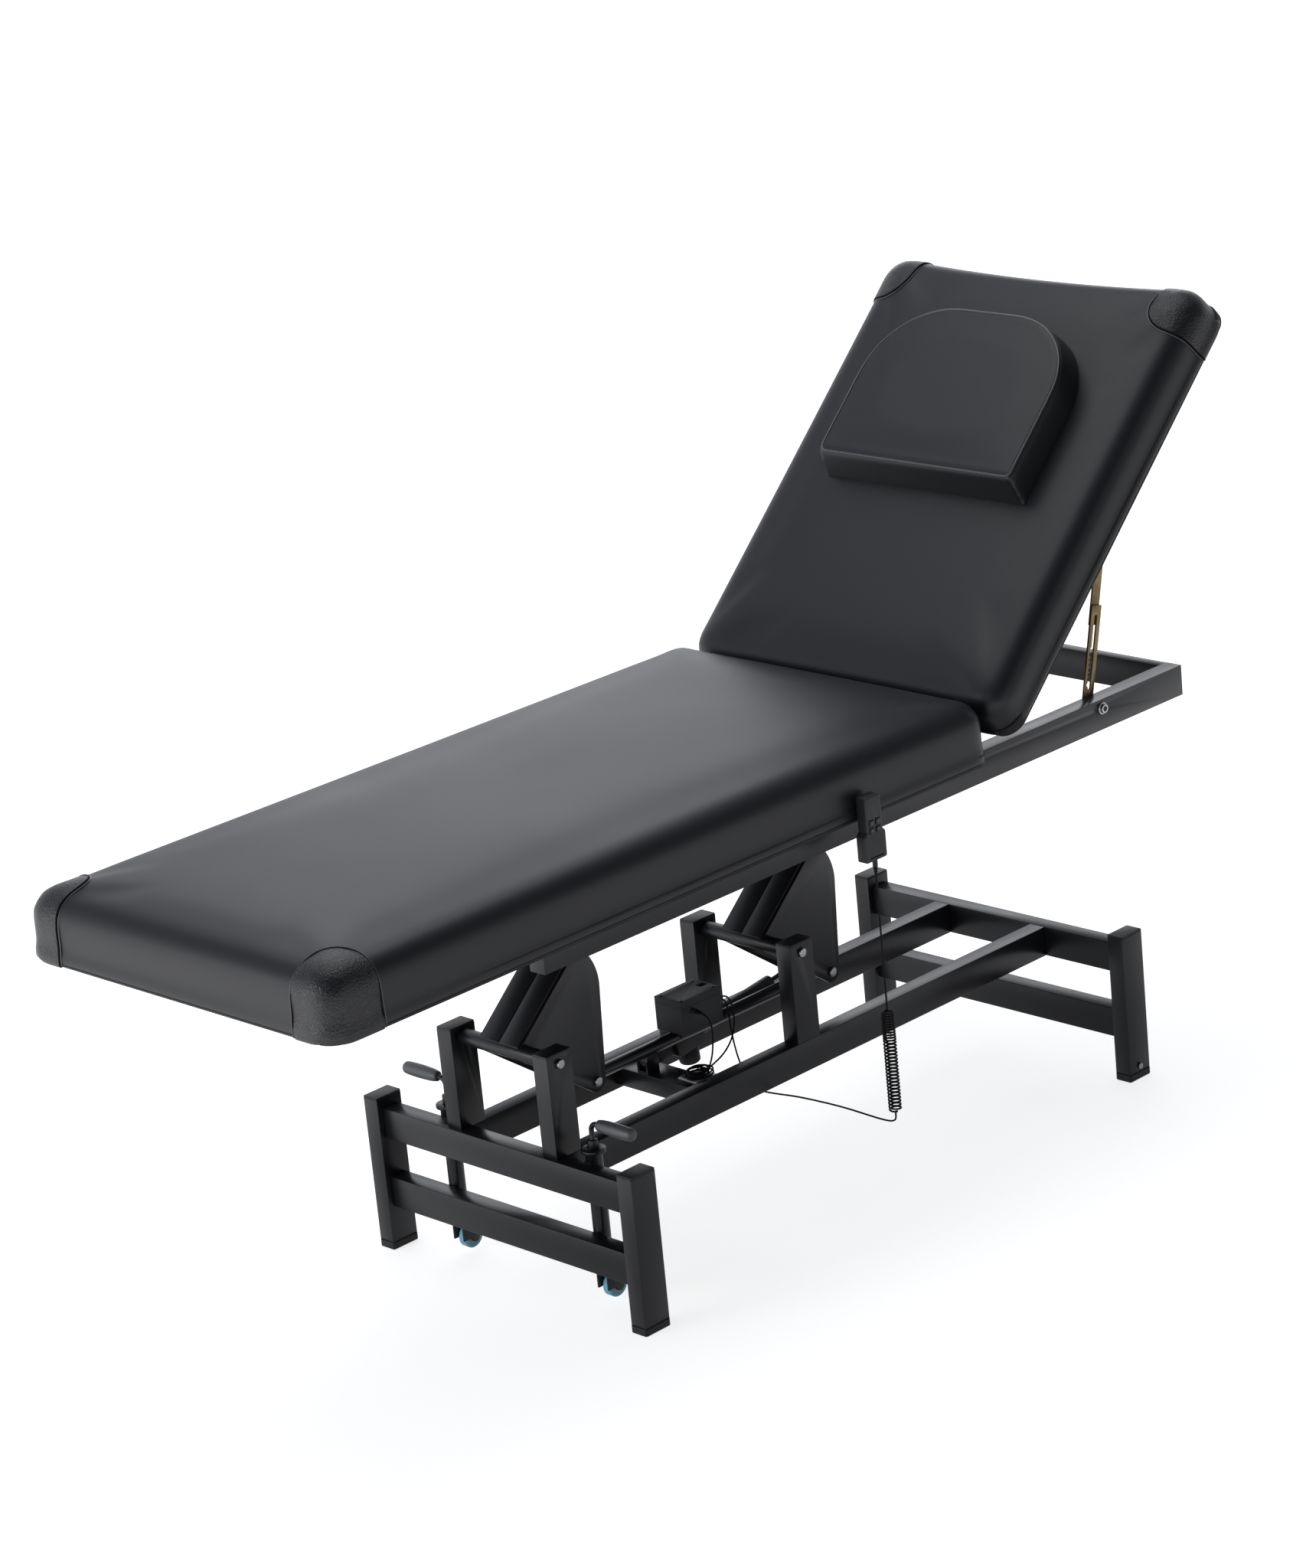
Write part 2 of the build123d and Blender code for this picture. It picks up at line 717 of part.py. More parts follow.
with BuildPart() as actuator_rod:
    with BuildSketch(actuator_cross(actuator_reach - rod_length)) as rod_circle:
        Circle(rod_diameter / 2)
    extrude(amount=rod_length)
    with BuildSketch(actuator_side(actuator_y + rod_eye_width / 2)) as rod_eye:
        with Locations((actuator_reach, 0)):
            Circle(rod_eye_diameter / 2)
    extrude(amount=rod_eye_width)
    with BuildSketch(actuator_side(actuator_y + rod_eye_width / 2)) as rod_eye_bore:
        with Locations((actuator_reach, 0)):
            Circle(link_bolt_diameter / 2 + running_gap)
    extrude(amount=rod_eye_width, mode=Mode.SUBTRACT)
save(actuator_rod, "actuator_rod")

# Bracket and pin that hold the actuator's rear end on the cross member
ear_inner = clevis_width / 2 + body_gap
ear_outer = ear_inner + bracket_ear_thickness
bracket_height = actuator_rear_z - cross_member_top_z
with BuildPart() as actuator_bracket:
    with BuildSketch(Plane.XY.offset(cross_member_top_z)) as bracket_base:
        with Locations((rear_x, actuator_y)):
            Rectangle(bracket_ear_width, 2 * ear_outer)
    extrude(amount=bracket_base_thickness)
    for start in (-ear_outer, ear_inner):
        with BuildSketch(Plane.XZ.offset(-actuator_y + start)) as ear_outline:
            with Locations((rear_x, cross_member_top_z + bracket_height / 2)):
                Rectangle(bracket_ear_width, bracket_height)
            with Locations((rear_x, actuator_rear_z)):
                Circle(bracket_ear_width / 2)
                Circle(actuator_pin_diameter / 2, mode=Mode.SUBTRACT)
        extrude(amount=bracket_ear_thickness)
    with BuildSketch(Plane.XZ.offset(-actuator_y - ear_outer)) as pin_section:
        with Locations((rear_x, actuator_rear_z)):
            Circle(actuator_pin_diameter / 2)
    extrude(amount=2 * ear_outer)
save(actuator_bracket, "actuator_bracket")

# Bed rails
bed_rail_y = bed_rail_outer_y - tube_thin / 2
bed_rail_middle_z = rail_top_z - tube_wide / 2
with BuildPart() as bed_rails:
    with BuildSketch(Plane.YZ.offset(base_x(bed_rail_foot))) as section:
        with Locations((-bed_rail_y, bed_rail_middle_z), (bed_rail_y, bed_rail_middle_z)):
            Rectangle(tube_thin, tube_wide)
        with Locations((-bed_rail_y, bed_rail_middle_z), (bed_rail_y, bed_rail_middle_z)):
            Rectangle(tube_thin - 2 * tube_wall, tube_wide - 2 * tube_wall, mode=Mode.SUBTRACT)
    extrude(amount=bed_rail_head - bed_rail_foot)
    for rail_end in (bed_rail_foot, bed_rail_head - cap_thickness):
        with BuildSketch(Plane.YZ.offset(base_x(rail_end))) as end_plates:
            with Locations((-bed_rail_y, bed_rail_middle_z), (bed_rail_y, bed_rail_middle_z)):
                Rectangle(tube_thin, tube_wide)
        extrude(amount=cap_thickness)
    with BuildSketch(Plane.XZ.offset(-bed_rail_outer_y)) as bolt_holes:
        with Locations((base_x(strut_foot_x), strut_foot_z)):
            Circle(strut_bolt_diameter / 2)
    extrude(amount=2 * bed_rail_outer_y, mode=Mode.SUBTRACT)
save(bed_rails, "bed_rails")

hinge_x = base_x(back_pivot_offset)

# Bed cross members with the lugs that take the rockers' upper bolts
bed_inner_y = bed_rail_outer_y - tube_thin
eye_dx = arm_length * cos(radians(arm_angle))
eye_z = pivot_z + arm_length * sin(radians(arm_angle))
eye_xs = [x + eye_dx for x in rocker_xs]
member_top = rail_top_z - tube_wall
member_bottom = member_top - tube_thin
cross_xs = [base_x(bed_rail_foot + tube_wide), eye_xs[0], eye_xs[1]]
lug_inner = plate_outer_y + lug_gap
with BuildPart() as bed_cross_members:
    with BuildSketch(Plane.XZ.offset(-bed_inner_y)) as section:
        with Locations(*[(x, (member_top + member_bottom) / 2) for x in cross_xs]):
            Rectangle(tube_wide, tube_thin)
        with Locations(*[(x, (member_top + member_bottom) / 2) for x in cross_xs]):
            Rectangle(tube_wide - 2 * tube_wall, tube_thin - 2 * tube_wall, mode=Mode.SUBTRACT)
    extrude(amount=2 * bed_inner_y)
    for start in (-lug_inner - lug_thickness, lug_inner):
        with BuildSketch(Plane.XZ.offset(start)) as lug_outline:
            with Locations(*[(x, (eye_z + member_bottom) / 2) for x in eye_xs]):
                Rectangle(lug_width, member_bottom - eye_z)
            with Locations(*[(x, eye_z) for x in eye_xs]):
                Circle(lug_width / 2)
            with Locations(*[(x, eye_z) for x in eye_xs]):
                Circle(eye_bolt_diameter / 2, mode=Mode.SUBTRACT)
        extrude(amount=lug_thickness)
    with BuildSketch(Plane.XZ.offset(-bed_inner_y)) as end_section:
        with Locations((base_x(bed_rail_head - end_member_width / 2), bed_rail_middle_z)):
            Rectangle(end_member_width, tube_wide)
    extrude(amount=2 * bed_inner_y)
    with BuildSketch(Plane.XZ.offset(-bed_inner_y)) as beam_section:
        with Locations((hinge_x, (member_top + member_bottom) / 2)):
            Rectangle(tube_wide, tube_thin)
    extrude(amount=2 * bed_inner_y)
    for side in (-1, 1):
        with BuildSketch(Plane.XZ.offset(side * ear_y - ear_thickness / 2)) as ear_outline:
            with Locations((hinge_x, (member_top + back_pivot_z) / 2)):
                Rectangle(ear_width, back_pivot_z - member_top)
            with Locations((hinge_x, back_pivot_z)):
                Circle(ear_width / 2)
        extrude(amount=ear_thickness)
        with BuildSketch(Plane.XZ.offset(side * ear_y - 3 * ear_thickness / 2)) as pin_section:
            with Locations((hinge_x, back_pivot_z)):
                Circle(back_pin_diameter / 2)
        extrude(amount=3 * ear_thickness)
save(bed_cross_members, "bed_cross_members")

bolt_half_length = lug_inner + lug_thickness
with BuildPart() as bed_pivot_bolts:
    with BuildSketch(Plane.XZ.offset(-bolt_half_length)) as shanks:
        with Locations(*[(x, eye_z) for x in eye_xs]):
            Circle(eye_bolt_diameter / 2)
    extrude(amount=2 * bolt_half_length)
    for side in (-1, 1):
        with BuildSketch(Plane.XZ.offset(side * bolt_half_length)) as heads:
            with Locations(*[(x, eye_z) for x in eye_xs]):
                RegularPolygon(bolt_head_diameter / 2 + bolt_head_height, 6)
        extrude(amount=side * bolt_head_height)
save(bed_pivot_bolts, "bed_pivot_bolts")

def back_side(y):
    """Plane at the given Y, X up the raised back from its lower front corner, Y out of its face."""
    corner_x = hinge_x - back_pivot_along * back_cos - back_pivot_depth * back_sin
    corner_z = back_pivot_z - back_pivot_along * back_sin + back_pivot_depth * back_cos
    return Plane(origin=(corner_x, y, corner_z), x_dir=(back_cos, 0, back_sin), z_dir=(0, -1, 0))


def pad_body(corner, along, length, low, inset, at_far_end, side_draw_in, end_draw_in):
    """Padded slab with a crowned top, rounded upper edges and drawn-in sides, set in by an inset."""
    start = (corner[0] + along[0] * inset, 0, corner[2] + along[2] * inset)
    end_plane = Plane(origin=start, x_dir=(0, 1, 0), z_dir=along)
    up = Axis(origin=(0, 0, 0), direction=(-along[2], 0, along[0]))
    half = pad_width / 2 - inset
    reach = length - 2 * inset
    with BuildPart() as body:
        with BuildSketch(end_plane) as profile:
            with BuildLine() as outline:
                Polyline((-half, -pad_crown - inset), (-half, -low), (half, -low), (half, -pad_crown - inset))
                ThreePointArc((half, -pad_crown - inset), (0, -inset), (-half, -pad_crown - inset))
            make_face()
        extrude(amount=reach)
        face = Plane(origin=start, x_dir=along, z_dir=(-along[2], 0, along[0]))
        with BuildSketch(face.offset(-low)) as plan:
            with BuildLine() as plan_edge:
                ThreePointArc((0, -half), (reach / 2, side_draw_in - half), (reach, -half))
                ThreePointArc((reach, half), (reach / 2, half - side_draw_in), (0, half))
                if at_far_end:
                    ThreePointArc((reach, -half), (reach - end_draw_in, 0), (reach, half))
                    Line((0, half), (0, -half))
                else:
                    Line((reach, -half), (reach, half))
                    ThreePointArc((0, half), (end_draw_in, 0), (0, -half))
            make_face()
            fillet(plan.vertices(), pad_corner_radius - inset)
        extrude(amount=low, mode=Mode.INTERSECT)
        fillet(body.faces().sort_by(up)[-1].edges(), pad_edge_radius - inset)
    return body.part


def corner_caps(corner, along, length, low, at_far_end, whole, draw_ins):
    """Leather pieces over the two corners at one end of a padded slab."""
    face = Plane(origin=corner, x_dir=along, z_dir=(-along[2], 0, along[0]))
    with BuildPart() as caps_of_end:
        add(whole)
        with BuildSketch(face.offset(-low)) as regions:
            middle = length - corner_cap_along / 2 if at_far_end else corner_cap_along / 2
            with Locations((middle, 0)):
                Rectangle(corner_cap_along, pad_width)
                Rectangle(corner_cap_along, pad_width - 2 * corner_cap_across, mode=Mode.SUBTRACT)
            corners = regions.vertices()
            seam_corners = [v for v in corners if inner_seam_corner(v, corner, along, length, at_far_end)]
            fillet(seam_corners, corner_cap_radius)
        extrude(amount=low, mode=Mode.INTERSECT)
        inner_body = pad_body(corner, along, length, low, corner_cap_thickness, at_far_end, *draw_ins)
        add(inner_body, mode=Mode.SUBTRACT)
    return caps_of_end


def inner_seam_corner(vertex, corner, along, length, at_far_end):
    """True for the corner of a cap's outline that lies on the pad's top."""
    reach = (vertex.X - corner[0]) * along[0] + (vertex.Z - corner[2]) * along[2]
    seam = length - corner_cap_along if at_far_end else corner_cap_along
    return abs(reach - seam) < seam_tolerance and abs(vertex.Y) < pad_width / 2 - corner_cap_across / 2


# Seat: board below, padded slab above, leather pieces on the foot corners
seat_corner = (base_x(-seat_foot_overhang), 0, seat_top_z)
seat_along = (1, 0, 0)
seat_foam = seat_thickness - board_thickness
seat_draw_ins = (seat_side_draw_in, seat_foot_draw_in)
seat_body = pad_body(seat_corner, seat_along, seat_length, seat_foam, 0, False, *seat_draw_ins)
seat_caps = corner_caps(seat_corner, seat_along, seat_length, seat_foam, False, seat_body, seat_draw_ins)
save(seat_caps, "seat_corner_caps")
with BuildPart() as seat_pad:
    add(seat_body)
    add(seat_caps.part, mode=Mode.SUBTRACT)
save(seat_pad, "seat_pad")

with BuildPart() as seat_board:
    with BuildSketch(Plane.XY.offset(rail_top_z)) as board_outline:
        with Locations((base_x(seat_length / 2 - seat_foot_overhang), 0)):
            RectangleRounded(
                seat_length - 2 * board_inset, pad_width - 2 * board_inset, pad_corner_radius - board_inset
            )
    extrude(amount=board_thickness)
save(seat_board, "seat_board")

# Back: the same build, tilted, with slots for the hinge ears
back_corner = tuple(back_side(0).origin)
back_along = (back_cos, 0, back_sin)
back_foam = back_thickness - board_thickness
back_face = Plane(origin=back_corner, x_dir=back_along, z_dir=(-back_sin, 0, back_cos))
slot_width = 3 * ear_thickness + 2 * hinge_slot_margin
slot_length = back_pivot_along + ear_width / 2 + hinge_slot_margin
slot_top = back_pivot_depth - ear_width / 2 - hinge_slot_margin
back_draw_ins = (back_side_draw_in, back_head_dip)
back_body = pad_body(back_corner, back_along, back_length, back_foam, 0, True, *back_draw_ins)
back_caps = corner_caps(back_corner, back_along, back_length, back_foam, True, back_body, back_draw_ins)
save(back_caps, "back_corner_caps")
with BuildPart() as back_pad:
    add(back_body)
    add(back_caps.part, mode=Mode.SUBTRACT)
    with BuildSketch(back_face.offset(-back_thickness)) as slot_outline:
        with Locations((slot_length / 2, -ear_y), (slot_length / 2, ear_y)):
            Rectangle(slot_length, slot_width)
    extrude(amount=back_thickness - slot_top, mode=Mode.SUBTRACT)
save(back_pad, "back_pad")

with BuildPart() as back_board:
    with BuildSketch(back_face.offset(-back_thickness)) as board_outline:
        with Locations((back_length / 2, 0)):
            RectangleRounded(
                back_length - 2 * board_inset, pad_width - 2 * board_inset, pad_corner_radius - board_inset
            )
        with Locations((slot_length / 2, -ear_y), (slot_length / 2, ear_y)):
            Rectangle(slot_length, slot_width, mode=Mode.SUBTRACT)
    extrude(amount=board_thickness)
save(back_board, "back_board")

# Under the back: hinge straps on the pins, and the brackets of the struts
bar_gap_y = bed_inner_y - body_gap
slot_bar_inner_y = bar_gap_y - strut_thickness
plain_bar_outer_y = slot_bar_inner_y - body_gap
plain_bar_inner_y = plain_bar_outer_y - strut_thickness
cheek_outer_y = plain_bar_inner_y - body_gap
cheek_inner_y = cheek_outer_y - strut_bracket_thickness
strap_inner = ear_thickness / 2 + body_gap
strap_thickness = ear_thickness - body_gap
strap_low = back_thickness + strap_foot_thickness
with BuildPart() as back_brackets:
    for middle_y in (-ear_y, ear_y):
        for start in (middle_y + strap_inner, middle_y - strap_inner - strap_thickness):
            with BuildSketch(back_side(0).offset(start)) as strap_outline:
                with Locations((back_pivot_along, -(back_pivot_depth + strap_low) / 2)):
                    Rectangle(strap_width, strap_low - back_pivot_depth)
                with Locations((back_pivot_along, -back_pivot_depth)):
                    Circle(strap_width / 2)
                with Locations((back_pivot_along, -back_pivot_depth)):
                    Circle(back_pin_diameter / 2 + running_gap, mode=Mode.SUBTRACT)
            extrude(amount=strap_thickness)
    with BuildSketch(back_face.offset(-strap_low)) as strap_feet:
        for side in (-1, 1):
            for flank in (-1, 1):
                strap_middle_y = side * ear_y + flank * (strap_inner + strap_thickness / 2)
                with Locations((strap_foot_middle, strap_middle_y)):
                    Rectangle(strap_foot_length, strap_thickness)
    extrude(amount=strap_foot_thickness)
    for start in (cheek_inner_y, -cheek_outer_y):
        with BuildSketch(back_side(0).offset(start)) as cheek_outline:
            with Locations((strut_head_along, -(back_thickness + strut_head_depth) / 2)):
                Rectangle(cheek_width, strut_head_depth - back_thickness)
            with Locations((strut_head_along, -strut_head_depth)):
                Circle(cheek_width / 2)
        extrude(amount=strut_bracket_thickness)
    for side in (-1, 1):
        with BuildSketch(back_side(0).offset(-side * cheek_inner_y)) as strut_pins:
            with Locations((strut_head_along, -strut_head_depth)):
                Circle(strut_bolt_diameter / 2)
        extrude(amount=-side * (plain_bar_outer_y - cheek_inner_y))
    with BuildSketch(back_face.offset(-back_thickness)) as bracket_feet:
        for side in (-1, 1):
            with Locations((strut_head_along, side * (cheek_outer_y - strut_bracket_width / 2))):
                Rectangle(strut_bracket_width, strut_bracket_width)
    extrude(amount=-strap_foot_thickness)
save(back_brackets, "back_brackets")

# Struts: a slotted bar with teeth from the rail, and a plain bar that runs along it
strut_foot = (base_x(strut_foot_x), strut_foot_z)
strut_head_point = back_side(0) * Location((strut_head_along, -strut_head_depth, 0))
strut_head = (strut_head_point.position.X, strut_head_point.position.Z)
strut_reach = hypot(strut_head[0] - strut_foot[0], strut_head[1] - strut_foot[1])
strut_angle = atan2(strut_head[1] - strut_foot[1], strut_head[0] - strut_foot[0])
strut_dir = (cos(strut_angle), 0, sin(strut_angle))
teeth = range(tooth_count)
for name, slot_start, plain_start in (
    ("near", slot_bar_inner_y, plain_bar_inner_y),
    ("far", -bar_gap_y, -plain_bar_outer_y),
):
    foot_plane = Plane(origin=(strut_foot[0], 0, strut_foot[1]), x_dir=strut_dir, z_dir=(0, -1, 0))
    with BuildPart() as slot_bar:
        with BuildSketch(foot_plane.offset(slot_start)) as bar_outline:
            with Locations((slot_bar_length / 2, 0)):
                Rectangle(slot_bar_length, strut_width)
            Circle(strut_width / 2)
            Circle(strut_bolt_diameter / 2 + running_gap, mode=Mode.SUBTRACT)
            with Locations((strut_slot_start + strut_slot_length / 2, 0)):
                SlotOverall(strut_slot_length, strut_slot_width, mode=Mode.SUBTRACT)
            with Locations(*[(strut_slot_start + (i + 1) * tooth_pitch, tooth_depth) for i in teeth]):
                Circle(tooth_depth, mode=Mode.SUBTRACT)
        extrude(amount=strut_thickness)
    save(slot_bar, f"{name}_slot_bar")

    head_plane = Plane(origin=(strut_head[0], 0, strut_head[1]), x_dir=strut_dir, z_dir=(0, -1, 0))
    with BuildPart() as plain_bar:
        with BuildSketch(head_plane.offset(plain_start)) as bar_outline:
            with Locations((-plain_bar_length / 2, 0)):
                Rectangle(plain_bar_length, plain_bar_width)
            Circle(plain_bar_width / 2)
            Circle(strut_bolt_diameter / 2 + running_gap, mode=Mode.SUBTRACT)
        extrude(amount=strut_thickness)
    save(plain_bar, f"{name}_plain_bar")

with BuildPart() as strut_bolts:
    for side in (-1, 1):
        with BuildSketch(Plane.XZ.offset(-side * slot_bar_inner_y)) as shanks:
            with Locations(strut_foot):
                Circle(strut_bolt_diameter / 2)
        extrude(amount=-side * (bed_rail_outer_y - slot_bar_inner_y))
        with BuildSketch(Plane.XZ.offset(-side * bed_rail_outer_y)) as washers:
            with Locations(strut_foot):
                Circle(washer_diameter / 2)
        extrude(amount=-side * washer_thickness)
        with BuildSketch(Plane.XZ.offset(-side * (bed_rail_outer_y + washer_thickness))) as heads:
            with Locations(strut_foot):
                Circle(bolt_head_diameter / 2)
        extrude(amount=-side * bolt_head_height)
save(strut_bolts, "strut_bolts")

# Pillow: straight lower edge, arched top, following the crown of the back
with BuildPart() as pillow:
    with BuildSketch(back_face.offset(-pad_crown)) as pillow_outline:
        with BuildLine() as pillow_edge:
            FilletPolyline(
                (pillow_along, -pillow_width / 2),
                (pillow_along + pillow_length, -pillow_width / 2),
                (pillow_along + pillow_length, pillow_width / 2),
                (pillow_along, pillow_width / 2),
                radius=pillow_corner_radius,
            )
            Line((pillow_along, -pillow_width / 2), (pillow_along, pillow_width / 2))
        make_face()
    extrude(amount=pillow_thickness + pad_crown)
    out = Axis(origin=(0, 0, 0), direction=(-back_sin, 0, back_cos))
    fillet(pillow.faces().sort_by(out)[-1].edges(), pillow_edge_radius)
    add(back_body, mode=Mode.SUBTRACT)
save(pillow, "pillow")

# Handset on its clip, with four keys
handset_back_y = -(pad_width / 2 + clip_thickness)
handset_front_y = handset_back_y - handset_thickness
handset_middle_x = base_x(handset_x + handset_width / 2)
key_middle_z = handset_bottom_z + key_rise
cord_x = base_x(cord_offset_x)
cord_y = (handset_back_y + handset_front_y) / 2
relief_end_z = handset_bottom_z - relief_length
key_spots = {
    "up_left": (handset_middle_x - key_pitch_x / 2, key_middle_z + key_pitch_z / 2),
    "up_right": (handset_middle_x + key_pitch_x / 2, key_middle_z + key_pitch_z / 2),
    "down_left": (handset_middle_x - key_pitch_x / 2, key_middle_z - key_pitch_z / 2),
    "down_right": (handset_middle_x + key_pitch_x / 2, key_middle_z - key_pitch_z / 2),
}
with BuildPart() as handset:
    with BuildSketch(Plane.XZ.offset(-handset_back_y)) as handset_outline:
        with Locations((handset_middle_x, handset_bottom_z)):
            Polygon(
                (-handset_width / 2, 0),
                (handset_width / 2, 0),
                (handset_width / 2, handset_shoulder_rise),
                (handset_neck_width / 2, handset_shoulder_rise + handset_shoulder_slope),
                (handset_neck_width / 2, handset_height),
                (-handset_neck_width / 2, handset_height),
                (-handset_neck_width / 2, handset_shoulder_rise + handset_shoulder_slope),
                (-handset_width / 2, handset_shoulder_rise),
                align=None,
            )
    extrude(amount=handset_thickness)
    fillet(handset.edges().filter_by(Axis.Y), handset_fillet)
    fillet(handset.faces().sort_by(Axis.Y)[0].edges(), handset_edge_radius)
    with BuildSketch(Plane.XZ.offset(-handset_front_y)) as pockets:
        with Locations(*key_spots.values()):
            Rectangle(key_width + 2 * key_clearance, key_height + 2 * key_clearance)
    extrude(amount=-(key_deep + key_travel + key_clearance), mode=Mode.SUBTRACT)
    with BuildSketch(Plane.XY.offset(relief_end_z)) as relief_section:
        with Locations((cord_x, cord_y)):
            Circle(relief_diameter / 2)
    extrude(amount=relief_length)
save(handset, "handset")

for name, spot in key_spots.items():
    with BuildPart() as key:
        with BuildSketch(Plane.XZ.offset(-handset_front_y - key_deep)) as key_outline:
            with Locations(spot):
                RectangleRounded(key_width, key_height, key_corner_radius)
        extrude(amount=key_deep + key_proud)
    save(key, f"key_{name}")

with BuildPart() as handset_clip:
    with BuildSketch(Plane.XZ.offset(pad_width / 2)) as clip_outline:
        with Locations((handset_middle_x, clip_low_z + clip_height / 2)):
            RectangleRounded(clip_width, clip_height, clip_corner_radius)
    extrude(amount=clip_thickness)
    with BuildSketch(Plane.XY.offset(handset_bottom_z + handset_height)) as clip_lip:
        with Locations((handset_middle_x, handset_back_y - clip_lip_reach / 2 + clip_thickness / 2)):
            Rectangle(clip_lip_width, clip_lip_reach + clip_thickness)
    extrude(amount=clip_thickness)
save(handset_clip, "handset_clip")


def cord(label, points, diameter):
    """Round cable through the points, straight runs joined by tangent arcs."""
    radii = []
    for before, corner, after in zip(points, points[1:], points[2:]):
        run_in = Vector(*corner) - Vector(*before)
        run_out = Vector(*after) - Vector(*corner)
        turn = radians(run_in.get_angle(run_out))
        radii.append(cord_arc_share * min(run_in.length, run_out.length) / tan(turn / 2))
    with BuildPart() as tube:
        with BuildLine() as route:
            FilletPolyline(*points, radius=radii)
        with BuildSketch(Plane(origin=route.wire() @ 0, z_dir=route.wire() % 0)) as section:
            Circle(diameter / 2)
        sweep()
    share = tube.part.volume / (pi * diameter**2 / 4 * route.wire().length)
    print(label, "least radius / diameter", round(min(radii) / diameter, 2), "volume share", round(share, 4))
    return tube


# Handset cord: straight lead and curly part, then the tail to the control box
with BuildPart() as curly_cord:
    with BuildSketch(Plane.XY.offset(relief_end_z)) as lead_section:
        with Locations((cord_x, cord_y)):
            Circle(cord_diameter / 2)
    extrude(amount=curl_top_z - relief_end_z)
    with BuildSketch(Plane.XY.offset(curl_top_z)) as curl_section:
        with Locations((cord_x, cord_y)):
            Circle(curl_diameter / 2)
    extrude(amount=curl_bottom_z - curl_top_z)
save(curly_cord, "handset_cord")

box_side_x = base_x(box_x + box_length)
tail_points = [(cord_x, cord_y, curl_bottom_z)]
tail_points += [(base_x(offset), y, z) for offset, y, z in tail_bends]
tail_points += [(box_side_x, tail_end_y, tail_end_z)]
save(cord("tail_cord", tail_points, cord_diameter), "tail_cord")

plate_top_z = cross_member_top_z + cable_plate_thickness
bundle_z = plate_top_z + bundle_thickness / 2
bundle_x = member_middle_x + cable_plate_shift
second_points = [(box_side_x, second_end_y, second_end_z)]
second_points += [(base_x(offset), y, z) for offset, y, z in second_bends]
second_points += [(bundle_x + bundle_radius, cable_plate_y, bundle_z)]
socket_end_y = box_y - socket_length
socket_z = box_bottom_z + socket_rise
short_points = [(socket_x, socket_end_y, socket_z), (socket_x, socket_end_y - socket_run, socket_z)]
short_points += [(base_x(offset), y, z) for offset, y, z in short_bends]
short_points += [(bundle_x, cable_plate_y - bundle_radius, bundle_z)]
second_cable = cord("second_cable", second_points, thin_cable_diameter)
short_cable = cord("short_cable", short_points, thin_cable_diameter)
with BuildPart() as box_cables:
    add(second_cable.part)
    add(short_cable.part)
    coil_origin = (bundle_x, cable_plate_y, bundle_z)
    with BuildSketch(Plane(origin=coil_origin, x_dir=(1, 0, 0), z_dir=(0, -1, 0))) as coil:
        with Locations((bundle_radius, 0)):
            Circle(bundle_thickness / 2)
    revolve(axis=Axis(origin=(bundle_x, cable_plate_y, 0), direction=(0, 0, 1)))
save(box_cables, "box_cables")

# Lifting castors: sleeve on the cross rails, stem with fork, wheel, crank and grip
sleeve_x = base_x(sleeve_offset_x)
wheel_x = base_x(castor_x)
wheel_z = wheel_rise + wheel_diameter / 2
rail_back_x = base_x(tube_wide - cross_rail_inset)
with BuildPart() as sleeves:
    for side_y in (-castor_y, castor_y):
        with BuildSketch(Plane.XY.offset(sleeve_bottom_z)) as sleeve_section:
            with Locations((sleeve_x, side_y)):
                Circle(sleeve_diameter / 2)
        extrude(amount=sleeve_top_z - sleeve_bottom_z)
        for middle_z in rail_middle_zs:
            with BuildSketch(Plane.XY.offset(middle_z - sleeve_bracket_height / 2)) as bracket_section:
                with Locations(((rail_back_x + sleeve_x) / 2, side_y)):
                    Rectangle(sleeve_x - rail_back_x, sleeve_bracket_width)
            extrude(amount=sleeve_bracket_height)
        with BuildSketch(Plane.XY.offset(sleeve_bottom_z)) as sleeve_bore:
            with Locations((sleeve_x, side_y)):
                Circle(sleeve_diameter / 2 - sleeve_wall)
        extrude(amount=sleeve_top_z - sleeve_bottom_z, mode=Mode.SUBTRACT)
        with BuildSketch(Plane.XY.offset(sleeve_top_z)) as flange_section:
            with Locations((sleeve_x, side_y)):
                Circle(flange_diameter / 2)
                Circle(spindle_diameter / 2 + running_gap, mode=Mode.SUBTRACT)
        extrude(amount=flange_thickness)
save(sleeves, "castor_sleeves")

